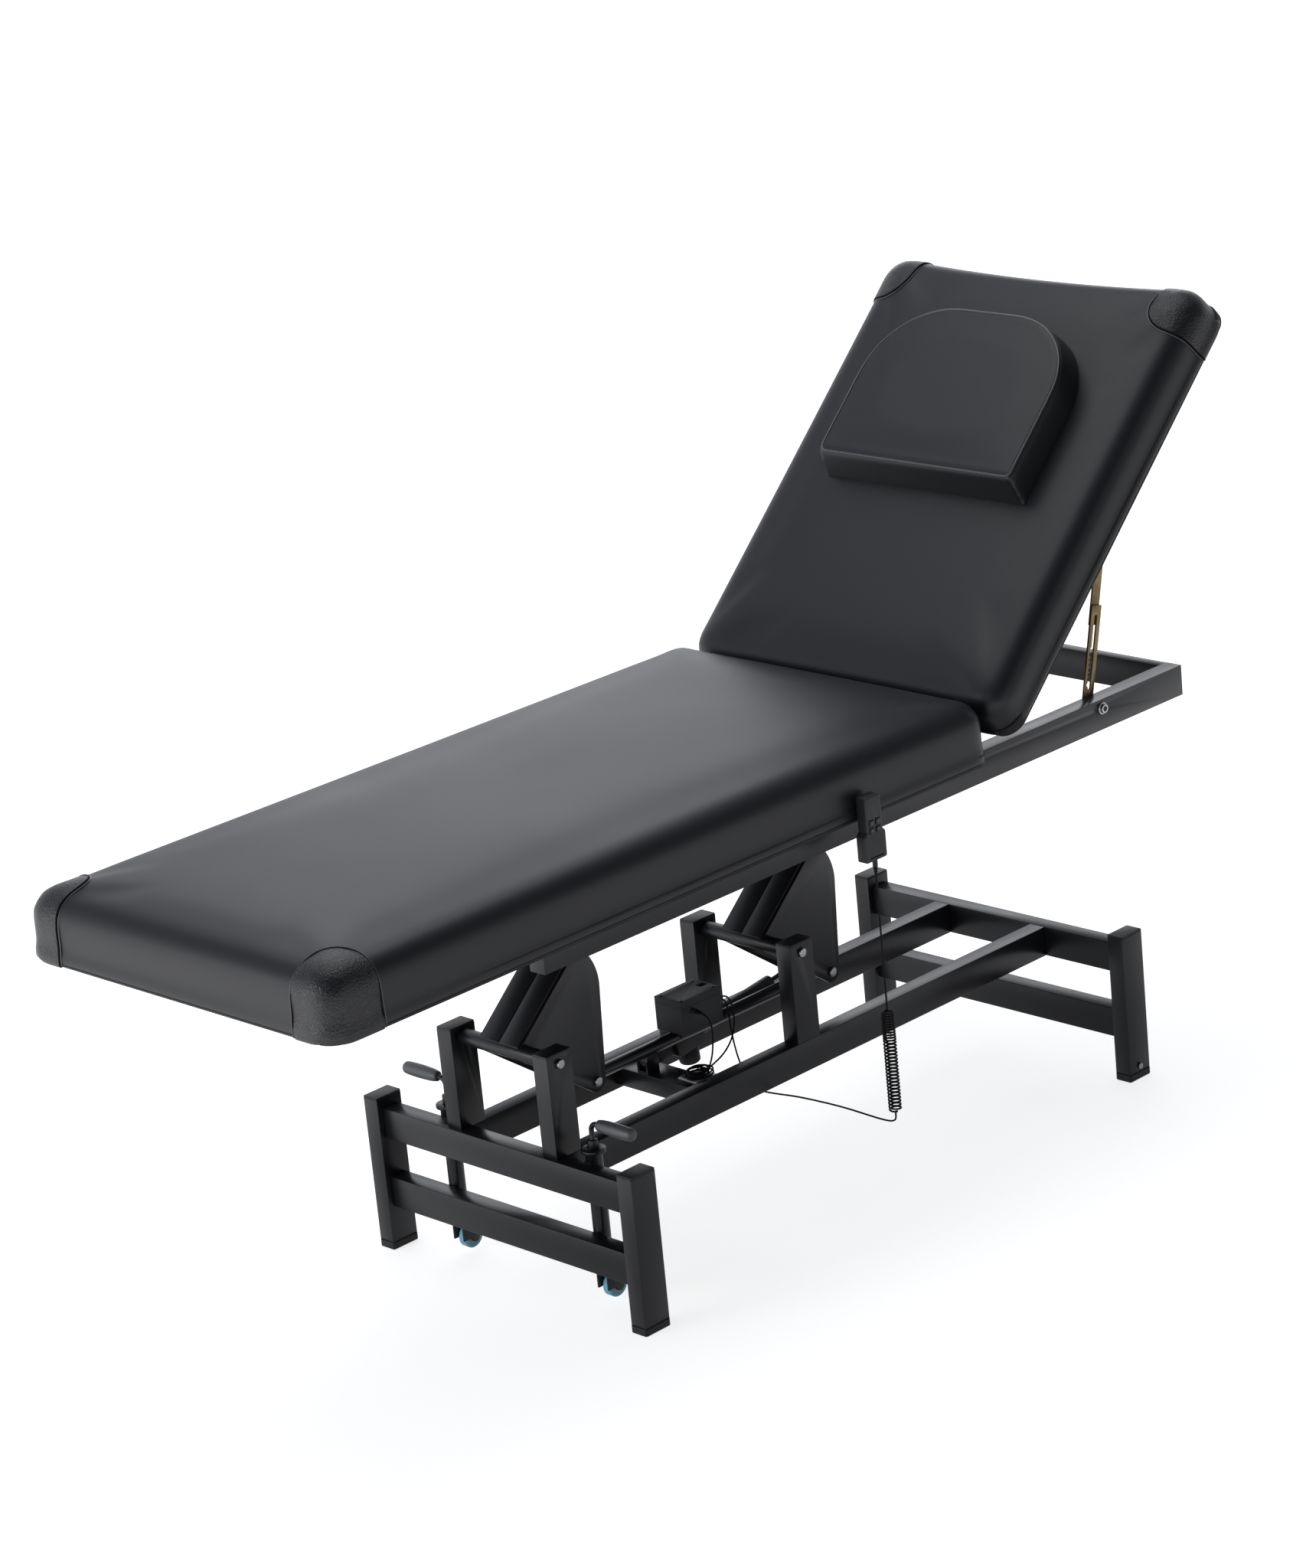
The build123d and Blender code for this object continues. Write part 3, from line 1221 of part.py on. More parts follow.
fork_middle_x = (sleeve_x + wheel_x) / 2
fork_inner = wheel_width / 2 + fork_gap
fork_outer = fork_inner + fork_thickness
bridge_low_z = wheel_z + wheel_diameter / 2 + fork_bridge_gap
flange_top_z = sleeve_top_z + flange_thickness
crank_low_z = flange_top_z + body_gap
for name, side in (("near", -1), ("far", 1)):
    side_y = side * castor_y
    with BuildPart() as stem:
        with BuildSketch(Plane.XY.offset(bridge_low_z)) as bridge_section:
            with Locations((fork_middle_x, side_y)):
                Rectangle(fork_length, 2 * fork_outer)
        extrude(amount=fork_thickness)
        with BuildSketch(Plane.XY.offset(bridge_low_z + fork_thickness)) as stem_section:
            with Locations((sleeve_x, side_y)):
                Circle(stem_diameter / 2)
        extrude(amount=stem_top_z - bridge_low_z - fork_thickness)
        for start in (-side_y - fork_outer, -side_y + fork_inner):
            with BuildSketch(Plane.XZ.offset(start)) as cheek_section:
                with Locations((fork_middle_x, (bridge_low_z + wheel_z) / 2)):
                    Rectangle(fork_length, bridge_low_z - wheel_z)
                with Locations((wheel_x, wheel_z)):
                    Circle(hub_bore)
            extrude(amount=fork_thickness)
        with BuildSketch(Plane.XZ.offset(-side_y - fork_outer)) as axle_section:
            with Locations((wheel_x, wheel_z)):
                Circle(hub_bore / 2)
        extrude(amount=2 * fork_outer)
    save(stem, f"{name}_castor_stem")

    wheel_start = -side_y - wheel_width / 2
    with BuildPart() as hub:
        with BuildSketch(Plane.XZ.offset(wheel_start)) as hub_section:
            with Locations((wheel_x, wheel_z)):
                Circle(hub_diameter / 2)
                Circle(hub_bore / 2 + running_gap, mode=Mode.SUBTRACT)
        extrude(amount=wheel_width)
    save(hub, f"{name}_castor_hub")

    with BuildPart() as tyre:
        with BuildSketch(Plane.XZ.offset(wheel_start)) as tyre_section:
            with Locations((wheel_x, wheel_z)):
                Circle(wheel_diameter / 2)
        extrude(amount=wheel_width)
        chamfer(tyre.edges().filter_by(GeomType.CIRCLE), tyre_edge)
        with BuildSketch(Plane.XZ.offset(wheel_start)) as tyre_bore:
            with Locations((wheel_x, wheel_z)):
                Circle(hub_diameter / 2)
        extrude(amount=wheel_width, mode=Mode.SUBTRACT)
    save(tyre, f"{name}_castor_tyre")

    rod_z = crank_low_z + crank_rise
    grip_start_y = side_y + side * crank_offset
    with BuildPart() as crank:
        with BuildSketch(Plane.XY.offset(flange_top_z - spindle_depth)) as spindle_section:
            with Locations((sleeve_x, side_y)):
                Circle(spindle_diameter / 2)
        extrude(amount=spindle_depth + body_gap)
        with BuildSketch(Plane.XY.offset(crank_low_z)) as hub_outline:
            with Locations((sleeve_x, side_y)):
                Circle(crank_hub_diameter / 2)
        extrude(amount=crank_hub_height)
        with BuildLine() as rod_route:
            FilletPolyline(
                (sleeve_x, side_y, crank_low_z + crank_hub_height),
                (sleeve_x, side_y, rod_z),
                (sleeve_x, grip_start_y + side * grip_rod_depth, rod_z),
                radius=crank_bend_radius,
            )
        with BuildSketch(Plane(origin=rod_route.wire() @ 0, z_dir=rod_route.wire() % 0)) as rod_section:
            Circle(crank_rod_diameter / 2)
        sweep(path=rod_route.wire())
    save(crank, f"{name}_crank")

    with BuildPart() as grip:
        with BuildSketch(Plane.YZ.offset(sleeve_x)) as grip_profile:
            with BuildLine() as grip_edge:
                FilletPolyline(
                    (grip_start_y, rod_z),
                    (grip_start_y, rod_z + grip_thin_diameter / 2),
                    (grip_start_y + side * grip_length, rod_z + grip_thick_diameter / 2),
                    (grip_start_y + side * grip_length, rod_z),
                    radius=grip_edge_radius,
                )
                Line((grip_start_y, rod_z), (grip_start_y + side * grip_length, rod_z))
            make_face()
        revolve(axis=Axis(origin=(sleeve_x, 0, rod_z), direction=(0, 1, 0)))
        with BuildSketch(Plane.XZ.offset(-grip_start_y)) as rod_seat:
            with Locations((sleeve_x, rod_z)):
                Circle(crank_rod_diameter / 2)
        extrude(amount=-side * grip_rod_depth, mode=Mode.SUBTRACT)
    save(grip, f"{name}_grip")

print("actuator reach", round(actuator_reach, 1), "angle", round(degrees(actuator_angle), 2))
print("rear pin", round(rear_x, 3), actuator_rear_z, "box side", round(box_side_x, 2))
print("rocker pivots", [round(x, 3) for x in rocker_xs], pivot_z)
print("bed eyes", [round(x, 3) for x in eye_xs], round(eye_z, 3))
print("link bolts", [round(x + link_x, 3) for x in rocker_xs], link_z_now)
print("foot x", round(foot_x, 3), "hinge", round(hinge_x, 3), round(back_pivot_z, 3))
print("strut foot", [round(v, 3) for v in strut_foot], "head", [round(v, 3) for v in strut_head])
print("strut reach", round(strut_reach, 2), "angle", round(degrees(strut_angle), 3))
print("sleeve", round(sleeve_x, 3), "wheel", round(wheel_x, 3), wheel_z)
print("cord", round(cord_x, 3), cord_y, "handset front", handset_front_y)
for name, spot in key_spots.items():
    print("key", name, round(spot[0], 3), round(spot[1], 3))
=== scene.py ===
import json
from math import radians, cos, sin, pi

import bpy
from mathutils import Matrix, Vector

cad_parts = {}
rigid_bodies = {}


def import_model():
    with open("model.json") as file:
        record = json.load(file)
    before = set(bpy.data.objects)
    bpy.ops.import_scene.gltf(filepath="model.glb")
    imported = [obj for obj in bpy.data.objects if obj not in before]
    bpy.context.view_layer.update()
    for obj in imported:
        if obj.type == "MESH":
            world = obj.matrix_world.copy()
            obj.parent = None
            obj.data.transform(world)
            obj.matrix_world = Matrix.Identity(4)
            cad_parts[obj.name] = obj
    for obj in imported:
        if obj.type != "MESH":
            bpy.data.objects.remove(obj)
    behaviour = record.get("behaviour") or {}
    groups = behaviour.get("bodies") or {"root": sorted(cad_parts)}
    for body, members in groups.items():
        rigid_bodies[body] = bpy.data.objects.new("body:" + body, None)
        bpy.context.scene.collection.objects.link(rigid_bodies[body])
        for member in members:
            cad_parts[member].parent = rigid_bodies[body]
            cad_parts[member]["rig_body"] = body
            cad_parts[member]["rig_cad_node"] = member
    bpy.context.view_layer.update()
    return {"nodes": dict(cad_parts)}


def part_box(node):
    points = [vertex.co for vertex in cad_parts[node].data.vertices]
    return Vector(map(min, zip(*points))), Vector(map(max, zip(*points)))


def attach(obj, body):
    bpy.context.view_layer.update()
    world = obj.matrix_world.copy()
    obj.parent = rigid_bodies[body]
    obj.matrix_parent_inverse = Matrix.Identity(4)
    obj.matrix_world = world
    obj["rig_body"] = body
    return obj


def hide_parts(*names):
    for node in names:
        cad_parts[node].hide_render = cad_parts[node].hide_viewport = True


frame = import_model()
nodes = frame["nodes"]
print("frame loaded:", len(nodes), "nodes")

# the table's own measure starts at the outer face of the foot legs
table = {
    "footFaceX": -0.438928,
    "padHalfWidth": 0.335,
    "seatTopZ": 0.763,
    "hinge": (0.401072, 0.724),
    "hingeAlong": 0.025,
    "hingeDepth": 0.039,
    "backAngle": radians(43.4),
    "seatStart": -0.549,
    "backLength": 0.796,
    "backThickness": 0.088,
    "seatLength": 1.358,
    "seatThickness": 0.108,
}


def tableX(offset):
    return table["footFaceX"] + offset


def deselectAll():
    if bpy.context.object and bpy.context.object.mode != "OBJECT":
        bpy.ops.object.mode_set(mode="OBJECT")
    bpy.ops.object.select_all(action="DESELECT")


def pick(obj):
    deselectAll()
    obj.select_set(True)
    bpy.context.view_layer.objects.active = obj
    return obj


def applyPlace(obj):
    pick(obj)
    bpy.ops.object.transform_apply(location=True, rotation=True, scale=True)


def applyAll(obj):
    pick(obj)
    for modifier in list(obj.modifiers):
        bpy.ops.object.modifier_apply(modifier=modifier.name)


def setMaterial(obj, material):
    obj.data.materials.clear()
    obj.data.materials.append(material)


deselectAll()

# camera, floor and light
cameraSetup = {
    "eye": (-4.4863, -4.6786, 2.8346),
    "right": (0.70009, -0.70796, -0.09303),
    "up": (0.2876, 0.16034, 0.94423),
    "forward": (0.65357, 0.68781, -0.31586),
    "lens": 103.05,
}
bpy.ops.object.camera_add()
camera = bpy.context.object
camera.name = "camera"
camera.data.lens = cameraSetup["lens"]
camera.data.sensor_width = 36
camera.data.clip_end = 60
rightward, upward, forward = (Vector(cameraSetup[k]).normalized() for k in ("right", "up", "forward"))
turn = Matrix((rightward, upward, -forward)).transposed().to_4x4()
camera.matrix_world = Matrix.Translation(cameraSetup["eye"]) @ turn
bpy.context.scene.camera = camera

lampSetup = {
    # name: place, aim, width, depth, watts
    "overhead": ((0.4, 0.9, 4.0), (0.1, 0.0, 0.6), 3.0, 2.6, 46),
    "leftFill": ((-4.2, 1.2, 1.3), (-0.2, 0.0, 0.6), 2.2, 1.4, 44),
    "nearFill": ((0.6, -4.4, 1.5), (0.2, 0.0, 0.5), 2.4, 1.4, 9),
    "backRim": ((4.2, 3.4, 2.3), (0.3, 0.0, 0.7), 4.0, 1.4, 26),
}
for name, (place, aim, width, depth, watts) in lampSetup.items():
    bpy.ops.object.light_add(type="AREA", location=place)
    lamp = bpy.context.object
    lamp.name = name
    lamp.data.shape = "RECTANGLE"
    lamp.data.size, lamp.data.size_y, lamp.data.energy = width, depth, watts
    lamp.rotation_euler = (Vector(aim) - Vector(place)).to_track_quat("-Z", "Y").to_euler()


def addNode(tree, kind, **settings):
    node = tree.nodes.new("ShaderNode" + kind)
    for label, value in settings.items():
        setattr(node, label, value)
    return node


def setRange(node, values, smooth=True):
    # a map from one span of values to another
    if smooth:
        node.interpolation_type = "SMOOTHSTEP"
    for socket, value in zip(("From Min", "From Max", "To Min", "To Max"), values):
        node.inputs[socket].default_value = value


scene = bpy.context.scene
scene.view_settings.view_transform = "Standard"
world = bpy.data.worlds.new("studio")
scene.world = world
world.use_nodes = True
tree = world.node_tree
tree.nodes.clear()
link = tree.links.new
skyLook = {
    "horizon": (0.90, 0.93, 1.0, 1), "zenith": (0.33, 0.35, 0.40, 1), "strength": 1.0,
    # each span: from, to, value at from, value at to
    "climb": (0.34, 0.62, 0.0, 1.0), "sideways": (-0.60, 0.10, 0.20, 1.0),
}
worldOut = addNode(tree, "OutputWorld")
worldMix = addNode(tree, "MixShader")
paths = addNode(tree, "LightPath")
place = addNode(tree, "TexCoord")
heights = addNode(tree, "SeparateXYZ")
climb = addNode(tree, "MapRange")
setRange(climb, skyLook["climb"], smooth=False)
skyMix = addNode(tree, "Mix", data_type="RGBA")
skyMix.inputs["A"].default_value = skyLook["horizon"]
skyMix.inputs["B"].default_value = skyLook["zenith"]
plainSky = addNode(tree, "Background")
plainSky.inputs["Strength"].default_value = skyLook["strength"]
seenSky = addNode(tree, "Background")
seenSky.inputs["Color"].default_value = (1, 1, 1, 1)
link(place.outputs["Generated"], heights.inputs[0])
link(heights.outputs["Z"], climb.inputs["Value"])
link(climb.outputs["Result"], skyMix.inputs["Factor"])
sideways = addNode(tree, "MapRange")
setRange(sideways, skyLook["sideways"])
shade = addNode(tree, "VectorMath", operation="SCALE")
link(heights.outputs["Y"], sideways.inputs["Value"])
link(skyMix.outputs["Result"], shade.inputs[0])
link(sideways.outputs["Result"], shade.inputs["Scale"])
link(shade.outputs[0], plainSky.inputs["Color"])
link(paths.outputs["Is Camera Ray"], worldMix.inputs["Fac"])
link(plainSky.outputs[0], worldMix.inputs[1])
link(seenSky.outputs[0], worldMix.inputs[2])
link(worldMix.outputs[0], worldOut.inputs[0])

bpy.ops.mesh.primitive_plane_add(size=40, location=(0, 0, 0))
floor = bpy.context.object
floor.name = "studio_floor"
floorPaint = bpy.data.materials.new("studio_floor")
floorPaint.use_nodes = True
tree = floorPaint.node_tree
tree.nodes.clear()
link = tree.links.new
floorLook = {
    "grey": (0.62, 0.62, 0.62, 1),
    # glow seen by the camera by distance, and in reflections by x and by distance
    "seen": (1.5, 3.4, 0.76, 1.0), "mirroredAlong": (-1.4, 0.7, 1.40, 0.80), "mirroredNear": (0.9, 2.1, 0.36, 1.0),
}
floorOut = addNode(tree, "OutputMaterial")
floorAdd = addNode(tree, "AddShader")
floorLit = addNode(tree, "BsdfDiffuse")
floorLit.inputs["Color"].default_value = floorLook["grey"]
floorGlow = addNode(tree, "Emission")
paths = addNode(tree, "LightPath")
glow = addNode(tree, "Math", operation="MULTIPLY")
mirrored = addNode(tree, "Math", operation="MULTIPLY_ADD")
place = addNode(tree, "TexCoord")
sides = addNode(tree, "SeparateXYZ")
away = addNode(tree, "VectorMath", operation="LENGTH")
spread, fade, nearby = (addNode(tree, "MapRange") for i in range(3))
setRange(spread, floorLook["seen"])
setRange(fade, floorLook["mirroredAlong"])
setRange(nearby, floorLook["mirroredNear"])
dimmed = addNode(tree, "Math", operation="MULTIPLY")
link(place.outputs["Object"], away.inputs[0])
link(place.outputs["Object"], sides.inputs[0])
link(away.outputs["Value"], spread.inputs["Value"])
link(sides.outputs["X"], fade.inputs["Value"])
link(paths.outputs["Is Camera Ray"], glow.inputs[0])
link(spread.outputs["Result"], glow.inputs[1])
link(paths.outputs["Is Glossy Ray"], mirrored.inputs[0])
link(away.outputs["Value"], nearby.inputs["Value"])
link(fade.outputs["Result"], dimmed.inputs[0])
link(nearby.outputs["Result"], dimmed.inputs[1])
link(dimmed.outputs[0], mirrored.inputs[1])
link(glow.outputs[0], mirrored.inputs[2])
link(mirrored.outputs[0], floorGlow.inputs["Strength"])
link(floorLit.outputs[0], floorAdd.inputs[0])
link(floorGlow.outputs[0], floorAdd.inputs[1])
link(floorAdd.outputs[0], floorOut.inputs[0])
setMaterial(floor, floorPaint)
print("camera, lamps and floor are set")


# effects that several materials share
def newGroup(name, inputs, outputs):
    group = bpy.data.node_groups.new(name, "ShaderNodeTree")
    for label, kind, value in inputs:
        socket = group.interface.new_socket(label, in_out="INPUT", socket_type=kind)
        socket.default_value = value
    for label, kind in outputs:
        group.interface.new_socket(label, in_out="OUTPUT", socket_type=kind)
    return group, group.nodes.new("NodeGroupInput"), group.nodes.new("NodeGroupOutput")


grainLook = {
    "warpScale": 60, "warpDetail": 2, "warp": 0.006, "lumpWidth": 0.35, "softness": 0.5,
    # colour multiplied into the grain's valleys: painted shade in the hollows
    "valleyShade": (0.72, 0.72, 0.74, 1),
}


def makeGrainGroup():
    # pebbled hide: rounded cells with a little noise, as height and as a mask of the valleys, which carry painted
    # shade
    group, source, sink = newGroup(
        "hideGrain",
        [("Scale", "NodeSocketFloat", 300.0), ("Softness", "NodeSocketFloat", 0.5)],
        [("Height", "NodeSocketFloat"), ("ValleyShade", "NodeSocketFloat")],
    )
    link = group.links.new
    place = addNode(group, "TexCoord")
    warp = addNode(group, "TexNoise")
    warp.inputs["Scale"].default_value = grainLook["warpScale"]
    warp.inputs["Detail"].default_value = grainLook["warpDetail"]
    shift = addNode(group, "MixRGB", blend_type="LINEAR_LIGHT")
    shift.inputs["Fac"].default_value = grainLook["warp"]
    cells = addNode(group, "TexVoronoi", feature="DISTANCE_TO_EDGE")
    lump = addNode(group, "MapRange")
    lump.inputs["From Max"].default_value = grainLook["lumpWidth"]
    mix = addNode(group, "Math", operation="POWER")
    invert = addNode(group, "Math", operation="SUBTRACT")
    invert.inputs[0].default_value = 1
    link(place.outputs["Object"], warp.inputs["Vector"])
    link(place.outputs["Object"], shift.inputs["Color1"])
    link(warp.outputs["Color"], shift.inputs["Color2"])
    link(shift.outputs[0], cells.inputs["Vector"])
    link(source.outputs["Scale"], cells.inputs["Scale"])
    link(cells.outputs["Distance"], lump.inputs["Value"])
    link(lump.outputs["Result"], mix.inputs[0])
    link(source.outputs["Softness"], mix.inputs[1])
    link(mix.outputs[0], sink.inputs["Height"])
    link(mix.outputs[0], invert.inputs[1])
    link(invert.outputs[0], sink.inputs["ValleyShade"])
    return group


def makeDriftGroup():
    # slow change of tone and gloss over a surface
    group, source, sink = newGroup(
        "slowDrift",
        [("Scale", "NodeSocketFloat", 4.0), ("Low", "NodeSocketFloat", 0.0), ("High", "NodeSocketFloat", 1.0)],
        [("Value", "NodeSocketFloat")],
    )
    link = group.links.new
    place = addNode(group, "TexCoord")
    noise = addNode(group, "TexNoise")
    noise.inputs["Detail"].default_value = 4
    spread = addNode(group, "MapRange")
    spread.inputs["From Min"].default_value = 0.3
    spread.inputs["From Max"].default_value = 0.7
    link(place.outputs["Object"], noise.inputs["Vector"])
    link(source.outputs["Scale"], noise.inputs["Scale"])
    link(noise.outputs["Fac"], spread.inputs["Value"])
    link(source.outputs["Low"], spread.inputs["To Min"])
    link(source.outputs["High"], spread.inputs["To Max"])
    link(spread.outputs["Result"], sink.inputs["Value"])
    return group


def makePeelGroup():
    # fine orange peel of powder coat or moulded plastic
    group, source, sink = newGroup("finePeel", [("Scale", "NodeSocketFloat", 900.0)], [("Height", "NodeSocketFloat")])
    link = group.links.new
    place = addNode(group, "TexCoord")
    noise = addNode(group, "TexNoise")
    noise.inputs["Detail"].default_value = 3
    noise.inputs["Roughness"].default_value = 0.6
    link(place.outputs["Object"], noise.inputs["Vector"])
    link(source.outputs["Scale"], noise.inputs["Scale"])
    link(noise.outputs["Fac"], sink.inputs["Height"])
    return group


grainGroup, driftGroup, peelGroup = makeGrainGroup(), makeDriftGroup(), makePeelGroup()


# materials
def addGroup(tree, group, **values):
    node = addNode(tree, "Group", node_tree=group)
    for label, value in values.items():
        node.inputs[label].default_value = value
    return node


def makeFinish(name, dark, light, rough, changes):
    look = {**usualLook, **changes}
    material = bpy.data.materials.new(name)
    material.use_nodes = True
    tree = material.node_tree
    link = tree.links.new
    shader = tree.nodes["Principled BSDF"]
    tone = addGroup(tree, driftGroup, Scale=look["toneScale"], Low=0.0, High=1.0)
    ramp = addNode(tree, "Mix", data_type="RGBA")
    ramp.inputs["A"].default_value = (*dark, 1)
    ramp.inputs["B"].default_value = (*light, 1)
    link(tone.outputs["Value"], ramp.inputs["Factor"])
    colour = ramp.outputs["Result"]
    gloss = addGroup(tree, driftGroup, Scale=look["glossScale"], Low=rough[0], High=rough[1])
    link(gloss.outputs["Value"], shader.inputs["Roughness"])
    bump = addNode(tree, "Bump")
    bump.inputs["Strength"].default_value = look["bump"]
    bump.inputs["Distance"].default_value = look["bumpDepth"]
    if "grainScale" in look:
        grain = addGroup(tree, grainGroup, Scale=look["grainScale"], Softness=grainLook["softness"])
        link(grain.outputs["Height"], bump.inputs["Height"])
        # the grain's valleys darkened: painted shade in the hollows of the relief
        valleyShade = addNode(tree, "Mix", data_type="RGBA", blend_type="MULTIPLY")
        valleyShade.inputs["B"].default_value = grainLook["valleyShade"]
        link(grain.outputs["ValleyShade"], valleyShade.inputs["Factor"])
        link(colour, valleyShade.inputs["A"])
        colour = valleyShade.outputs["Result"]
    else:
        peel = addGroup(tree, peelGroup, Scale=look["peelScale"])
        link(peel.outputs["Height"], bump.inputs["Height"])
    link(bump.outputs["Normal"], shader.inputs["Normal"])
    link(colour, shader.inputs["Base Color"])
    shader.inputs["Metallic"].default_value = look["metal"]
    shader.inputs["Specular IOR Level"].default_value = look["specular"]
    return material


usualLook = {
    "toneScale": 5.0, "glossScale": 9.0, "peelScale": 900.0, "bump": 0.2, "bumpDepth": 0.0004,
    "metal": 0.0, "specular": 0.5,
}
finishes = {
    # finish: slot in the record, dark and light tone, least and most roughness, what is unlike the usual look
    "vinyl": ("vinyl", (0.009, 0.0096, 0.0122), (0.0118, 0.0125, 0.0156), (0.39, 0.43),
        {"toneScale": 2.2, "glossScale": 3.0, "grainScale": 620.0, "bump": 0.09, "specular": 0.36}),
    "pillowVinyl": ("vinyl", (0.0098, 0.0105, 0.013), (0.0125, 0.0133, 0.0162), (0.4, 0.44),
        {"glossScale": 4.0, "grainScale": 620.0, "bump": 0.09, "specular": 0.36}),
    "cornerLeather": ("leather_corner", (0.006, 0.0064, 0.008), (0.0105, 0.0111, 0.0136), (0.32, 0.42),
        {"grainScale": 210.0, "bump": 0.5, "bumpDepth": 0.0008, "specular": 0.42}),
    "seamShade": ("leather_corner", (0.0016, 0.0017, 0.002), (0.003, 0.0031, 0.0036), (0.6, 0.75),
        {"specular": 0.12}),
    # the cover's vinyl made lighter and glossier: painted highlight for lit creases and seam edges
    "creaseHighlightVinyl": ("vinyl", (0.03, 0.031, 0.034), (0.05, 0.051, 0.055), (0.26, 0.34),
        {"bump": 0.1, "specular": 0.7}),
    "powderBlack": ("frame_black", (0.0062, 0.0066, 0.0086), (0.0098, 0.0104, 0.013), (0.29, 0.37),
        {"peelScale": 700.0, "bump": 0.08, "bumpDepth": 0.0003, "specular": 0.38}),
    "capPlastic": ("plastic_black", (0.0085, 0.009, 0.0108), (0.014, 0.0146, 0.017), (0.42, 0.56),
        {"peelScale": 1200.0, "specular": 0.36}),
    "boxPlastic": ("box_plastic", (0.0165, 0.0172, 0.02), (0.024, 0.0248, 0.028), (0.52, 0.64),
        {"peelScale": 1500.0, "bump": 0.35, "specular": 0.34}),
    "handsetPlastic": ("handset_plastic", (0.025, 0.026, 0.03), (0.033, 0.0342, 0.039), (0.42, 0.54),
        {"peelScale": 1800.0, "bump": 0.25, "specular": 0.36}),
    "keyPlastic": ("key_plastic", (0.027, 0.028, 0.0322), (0.034, 0.0352, 0.04), (0.42, 0.56),
        {"peelScale": 2000.0, "specular": 0.36}),
    "markGrey": ("key_plastic", (0.16, 0.165, 0.18), (0.24, 0.247, 0.262), (0.45, 0.6), {"peelScale": 2000.0}),
    "brightSteel": ("bright_steel", (0.24, 0.245, 0.26), (0.42, 0.425, 0.44), (0.16, 0.28),
        {"metal": 1.0, "peelScale": 600.0, "bump": 0.05}),
    # near-black steel for bolt sockets and screw recesses: painted shade of the holes
    "socketShadeSteel": ("bright_steel", (0.012, 0.012, 0.013), (0.025, 0.025, 0.027), (0.4, 0.6),
        {"metal": 0.8, "peelScale": 600.0, "bump": 0.1}),
    "yellowZinc": ("zinc_yellow", (0.105, 0.072, 0.034), (0.235, 0.175, 0.092), (0.3, 0.44),
        {"metal": 1.0, "toneScale": 22.0, "peelScale": 500.0, "bump": 0.08}),
    "paleSteel": ("pale_plate", (0.5, 0.51, 0.53), (0.68, 0.69, 0.71), (0.3, 0.45),
        {"metal": 0.8, "toneScale": 30.0, "peelScale": 500.0, "bump": 0.1}),
    "rubberCord": ("rubber_cord", (0.003, 0.0031, 0.0037), (0.0055, 0.0057, 0.0067), (0.5, 0.62),
        {"peelScale": 2200.0, "bump": 0.15, "specular": 0.14}),
    "tyreBlue": ("tyre_blue", (0.2, 0.58, 0.78), (0.28, 0.68, 0.86), (0.4, 0.55), {"toneScale": 30.0}),
    "hubGrey": ("hub_grey", (0.38, 0.36, 0.32), (0.52, 0.5, 0.45), (0.4, 0.55), {}),
    "gripPlastic": ("grip_black", (0.095, 0.097, 0.104), (0.125, 0.127, 0.134), (0.38, 0.5),
        {"peelScale": 1100.0, "bump": 0.3}),
    "castAlloy": ("actuator_metal", (0.014, 0.0144, 0.016), (0.026, 0.0266, 0.029), (0.42, 0.56),
        {"metal": 0.4, "peelScale": 500.0, "bump": 0.3}),
    "darkBoard": ("board", (0.0105, 0.0104, 0.0106), (0.018, 0.0176, 0.0175), (0.6, 0.8),
        {"peelScale": 300.0, "bump": 0.5, "specular": 0.3}),
}
paint = {name: makeFinish(name, *row[1:]) for name, row in finishes.items()}
print("materials made:", len(paint))

# CAD pieces that keep their shape: crisp rounded edges and a finish
dressed = {
    # node: finish, edge radius in metres (0 keeps the CAD mesh)
    "posts": ("powderBlack", 0.0022), "cross_rails": ("powderBlack", 0.0022), "long_rails": ("powderBlack", 0.0022),
    "uprights": ("powderBlack", 0.0022), "cross_member": ("powderBlack", 0.002), "cable_plate": ("paleSteel", 0.0006),
    "leg_glides": ("capPlastic", 0.0008), "tube_caps": ("capPlastic", 0.0008), "base_bolts": ("brightSteel", 0.0004),
    "actuator_bracket": ("powderBlack", 0.0006), "castor_sleeves": ("powderBlack", 0.0008),
    "foot_rocker_arm": ("powderBlack", 0.0015), "foot_rocker_plates": ("powderBlack", 0.0008),
    "head_rocker_arm": ("powderBlack", 0.0015), "head_rocker_plates": ("powderBlack", 0.0008),
    "foot_link_bolt": ("brightSteel", 0.0005), "head_link_bolt": ("brightSteel", 0.0005),
    "tie_rod": ("powderBlack", 0.0006), "control_box": ("boxPlastic", 0.0008), "control_lid": ("boxPlastic", 0.0008),
    "gear_housing": ("castAlloy", 0.001), "actuator_tube": ("castAlloy", 0.0008), "motor": ("castAlloy", 0.0008),
    "actuator_rod": ("brightSteel", 0.0005), "bed_rails": ("powderBlack", 0.0022),
    "bed_cross_members": ("powderBlack", 0.002), "bed_pivot_bolts": ("brightSteel", 0.0006),
    "seat_board": ("darkBoard", 0.001), "back_board": ("darkBoard", 0.001), "back_brackets": ("powderBlack", 0.0005),
    **{f"{side}_{bar}_bar": ("yellowZinc", 0.0003) for bar in ("slot", "plain") for side in ("near", "far")},
    "strut_bolts": ("brightSteel", 0.0005), "handset": ("handsetPlastic", 0.0006),
    "handset_clip": ("capPlastic", 0.0004),
    **{f"key_{way}_{side}": ("keyPlastic", 0.0004) for way in ("up", "down") for side in ("left", "right")},
    **{
        f"{side}_{part}": look
        for part, look in (
            ("castor_stem", ("powderBlack", 0.0006)), ("castor_hub", ("hubGrey", 0.0008)),
            ("castor_tyre", ("tyreBlue", 0.0)), ("crank", ("powderBlack", 0.0004)),
        )
        for side in ("near", "far")
    },
}


dressSetup = {
    "merge": 0.00001, "flatAngle": radians(1.5), "bevelAngle": radians(38), "smoothAngle": radians(34),
}


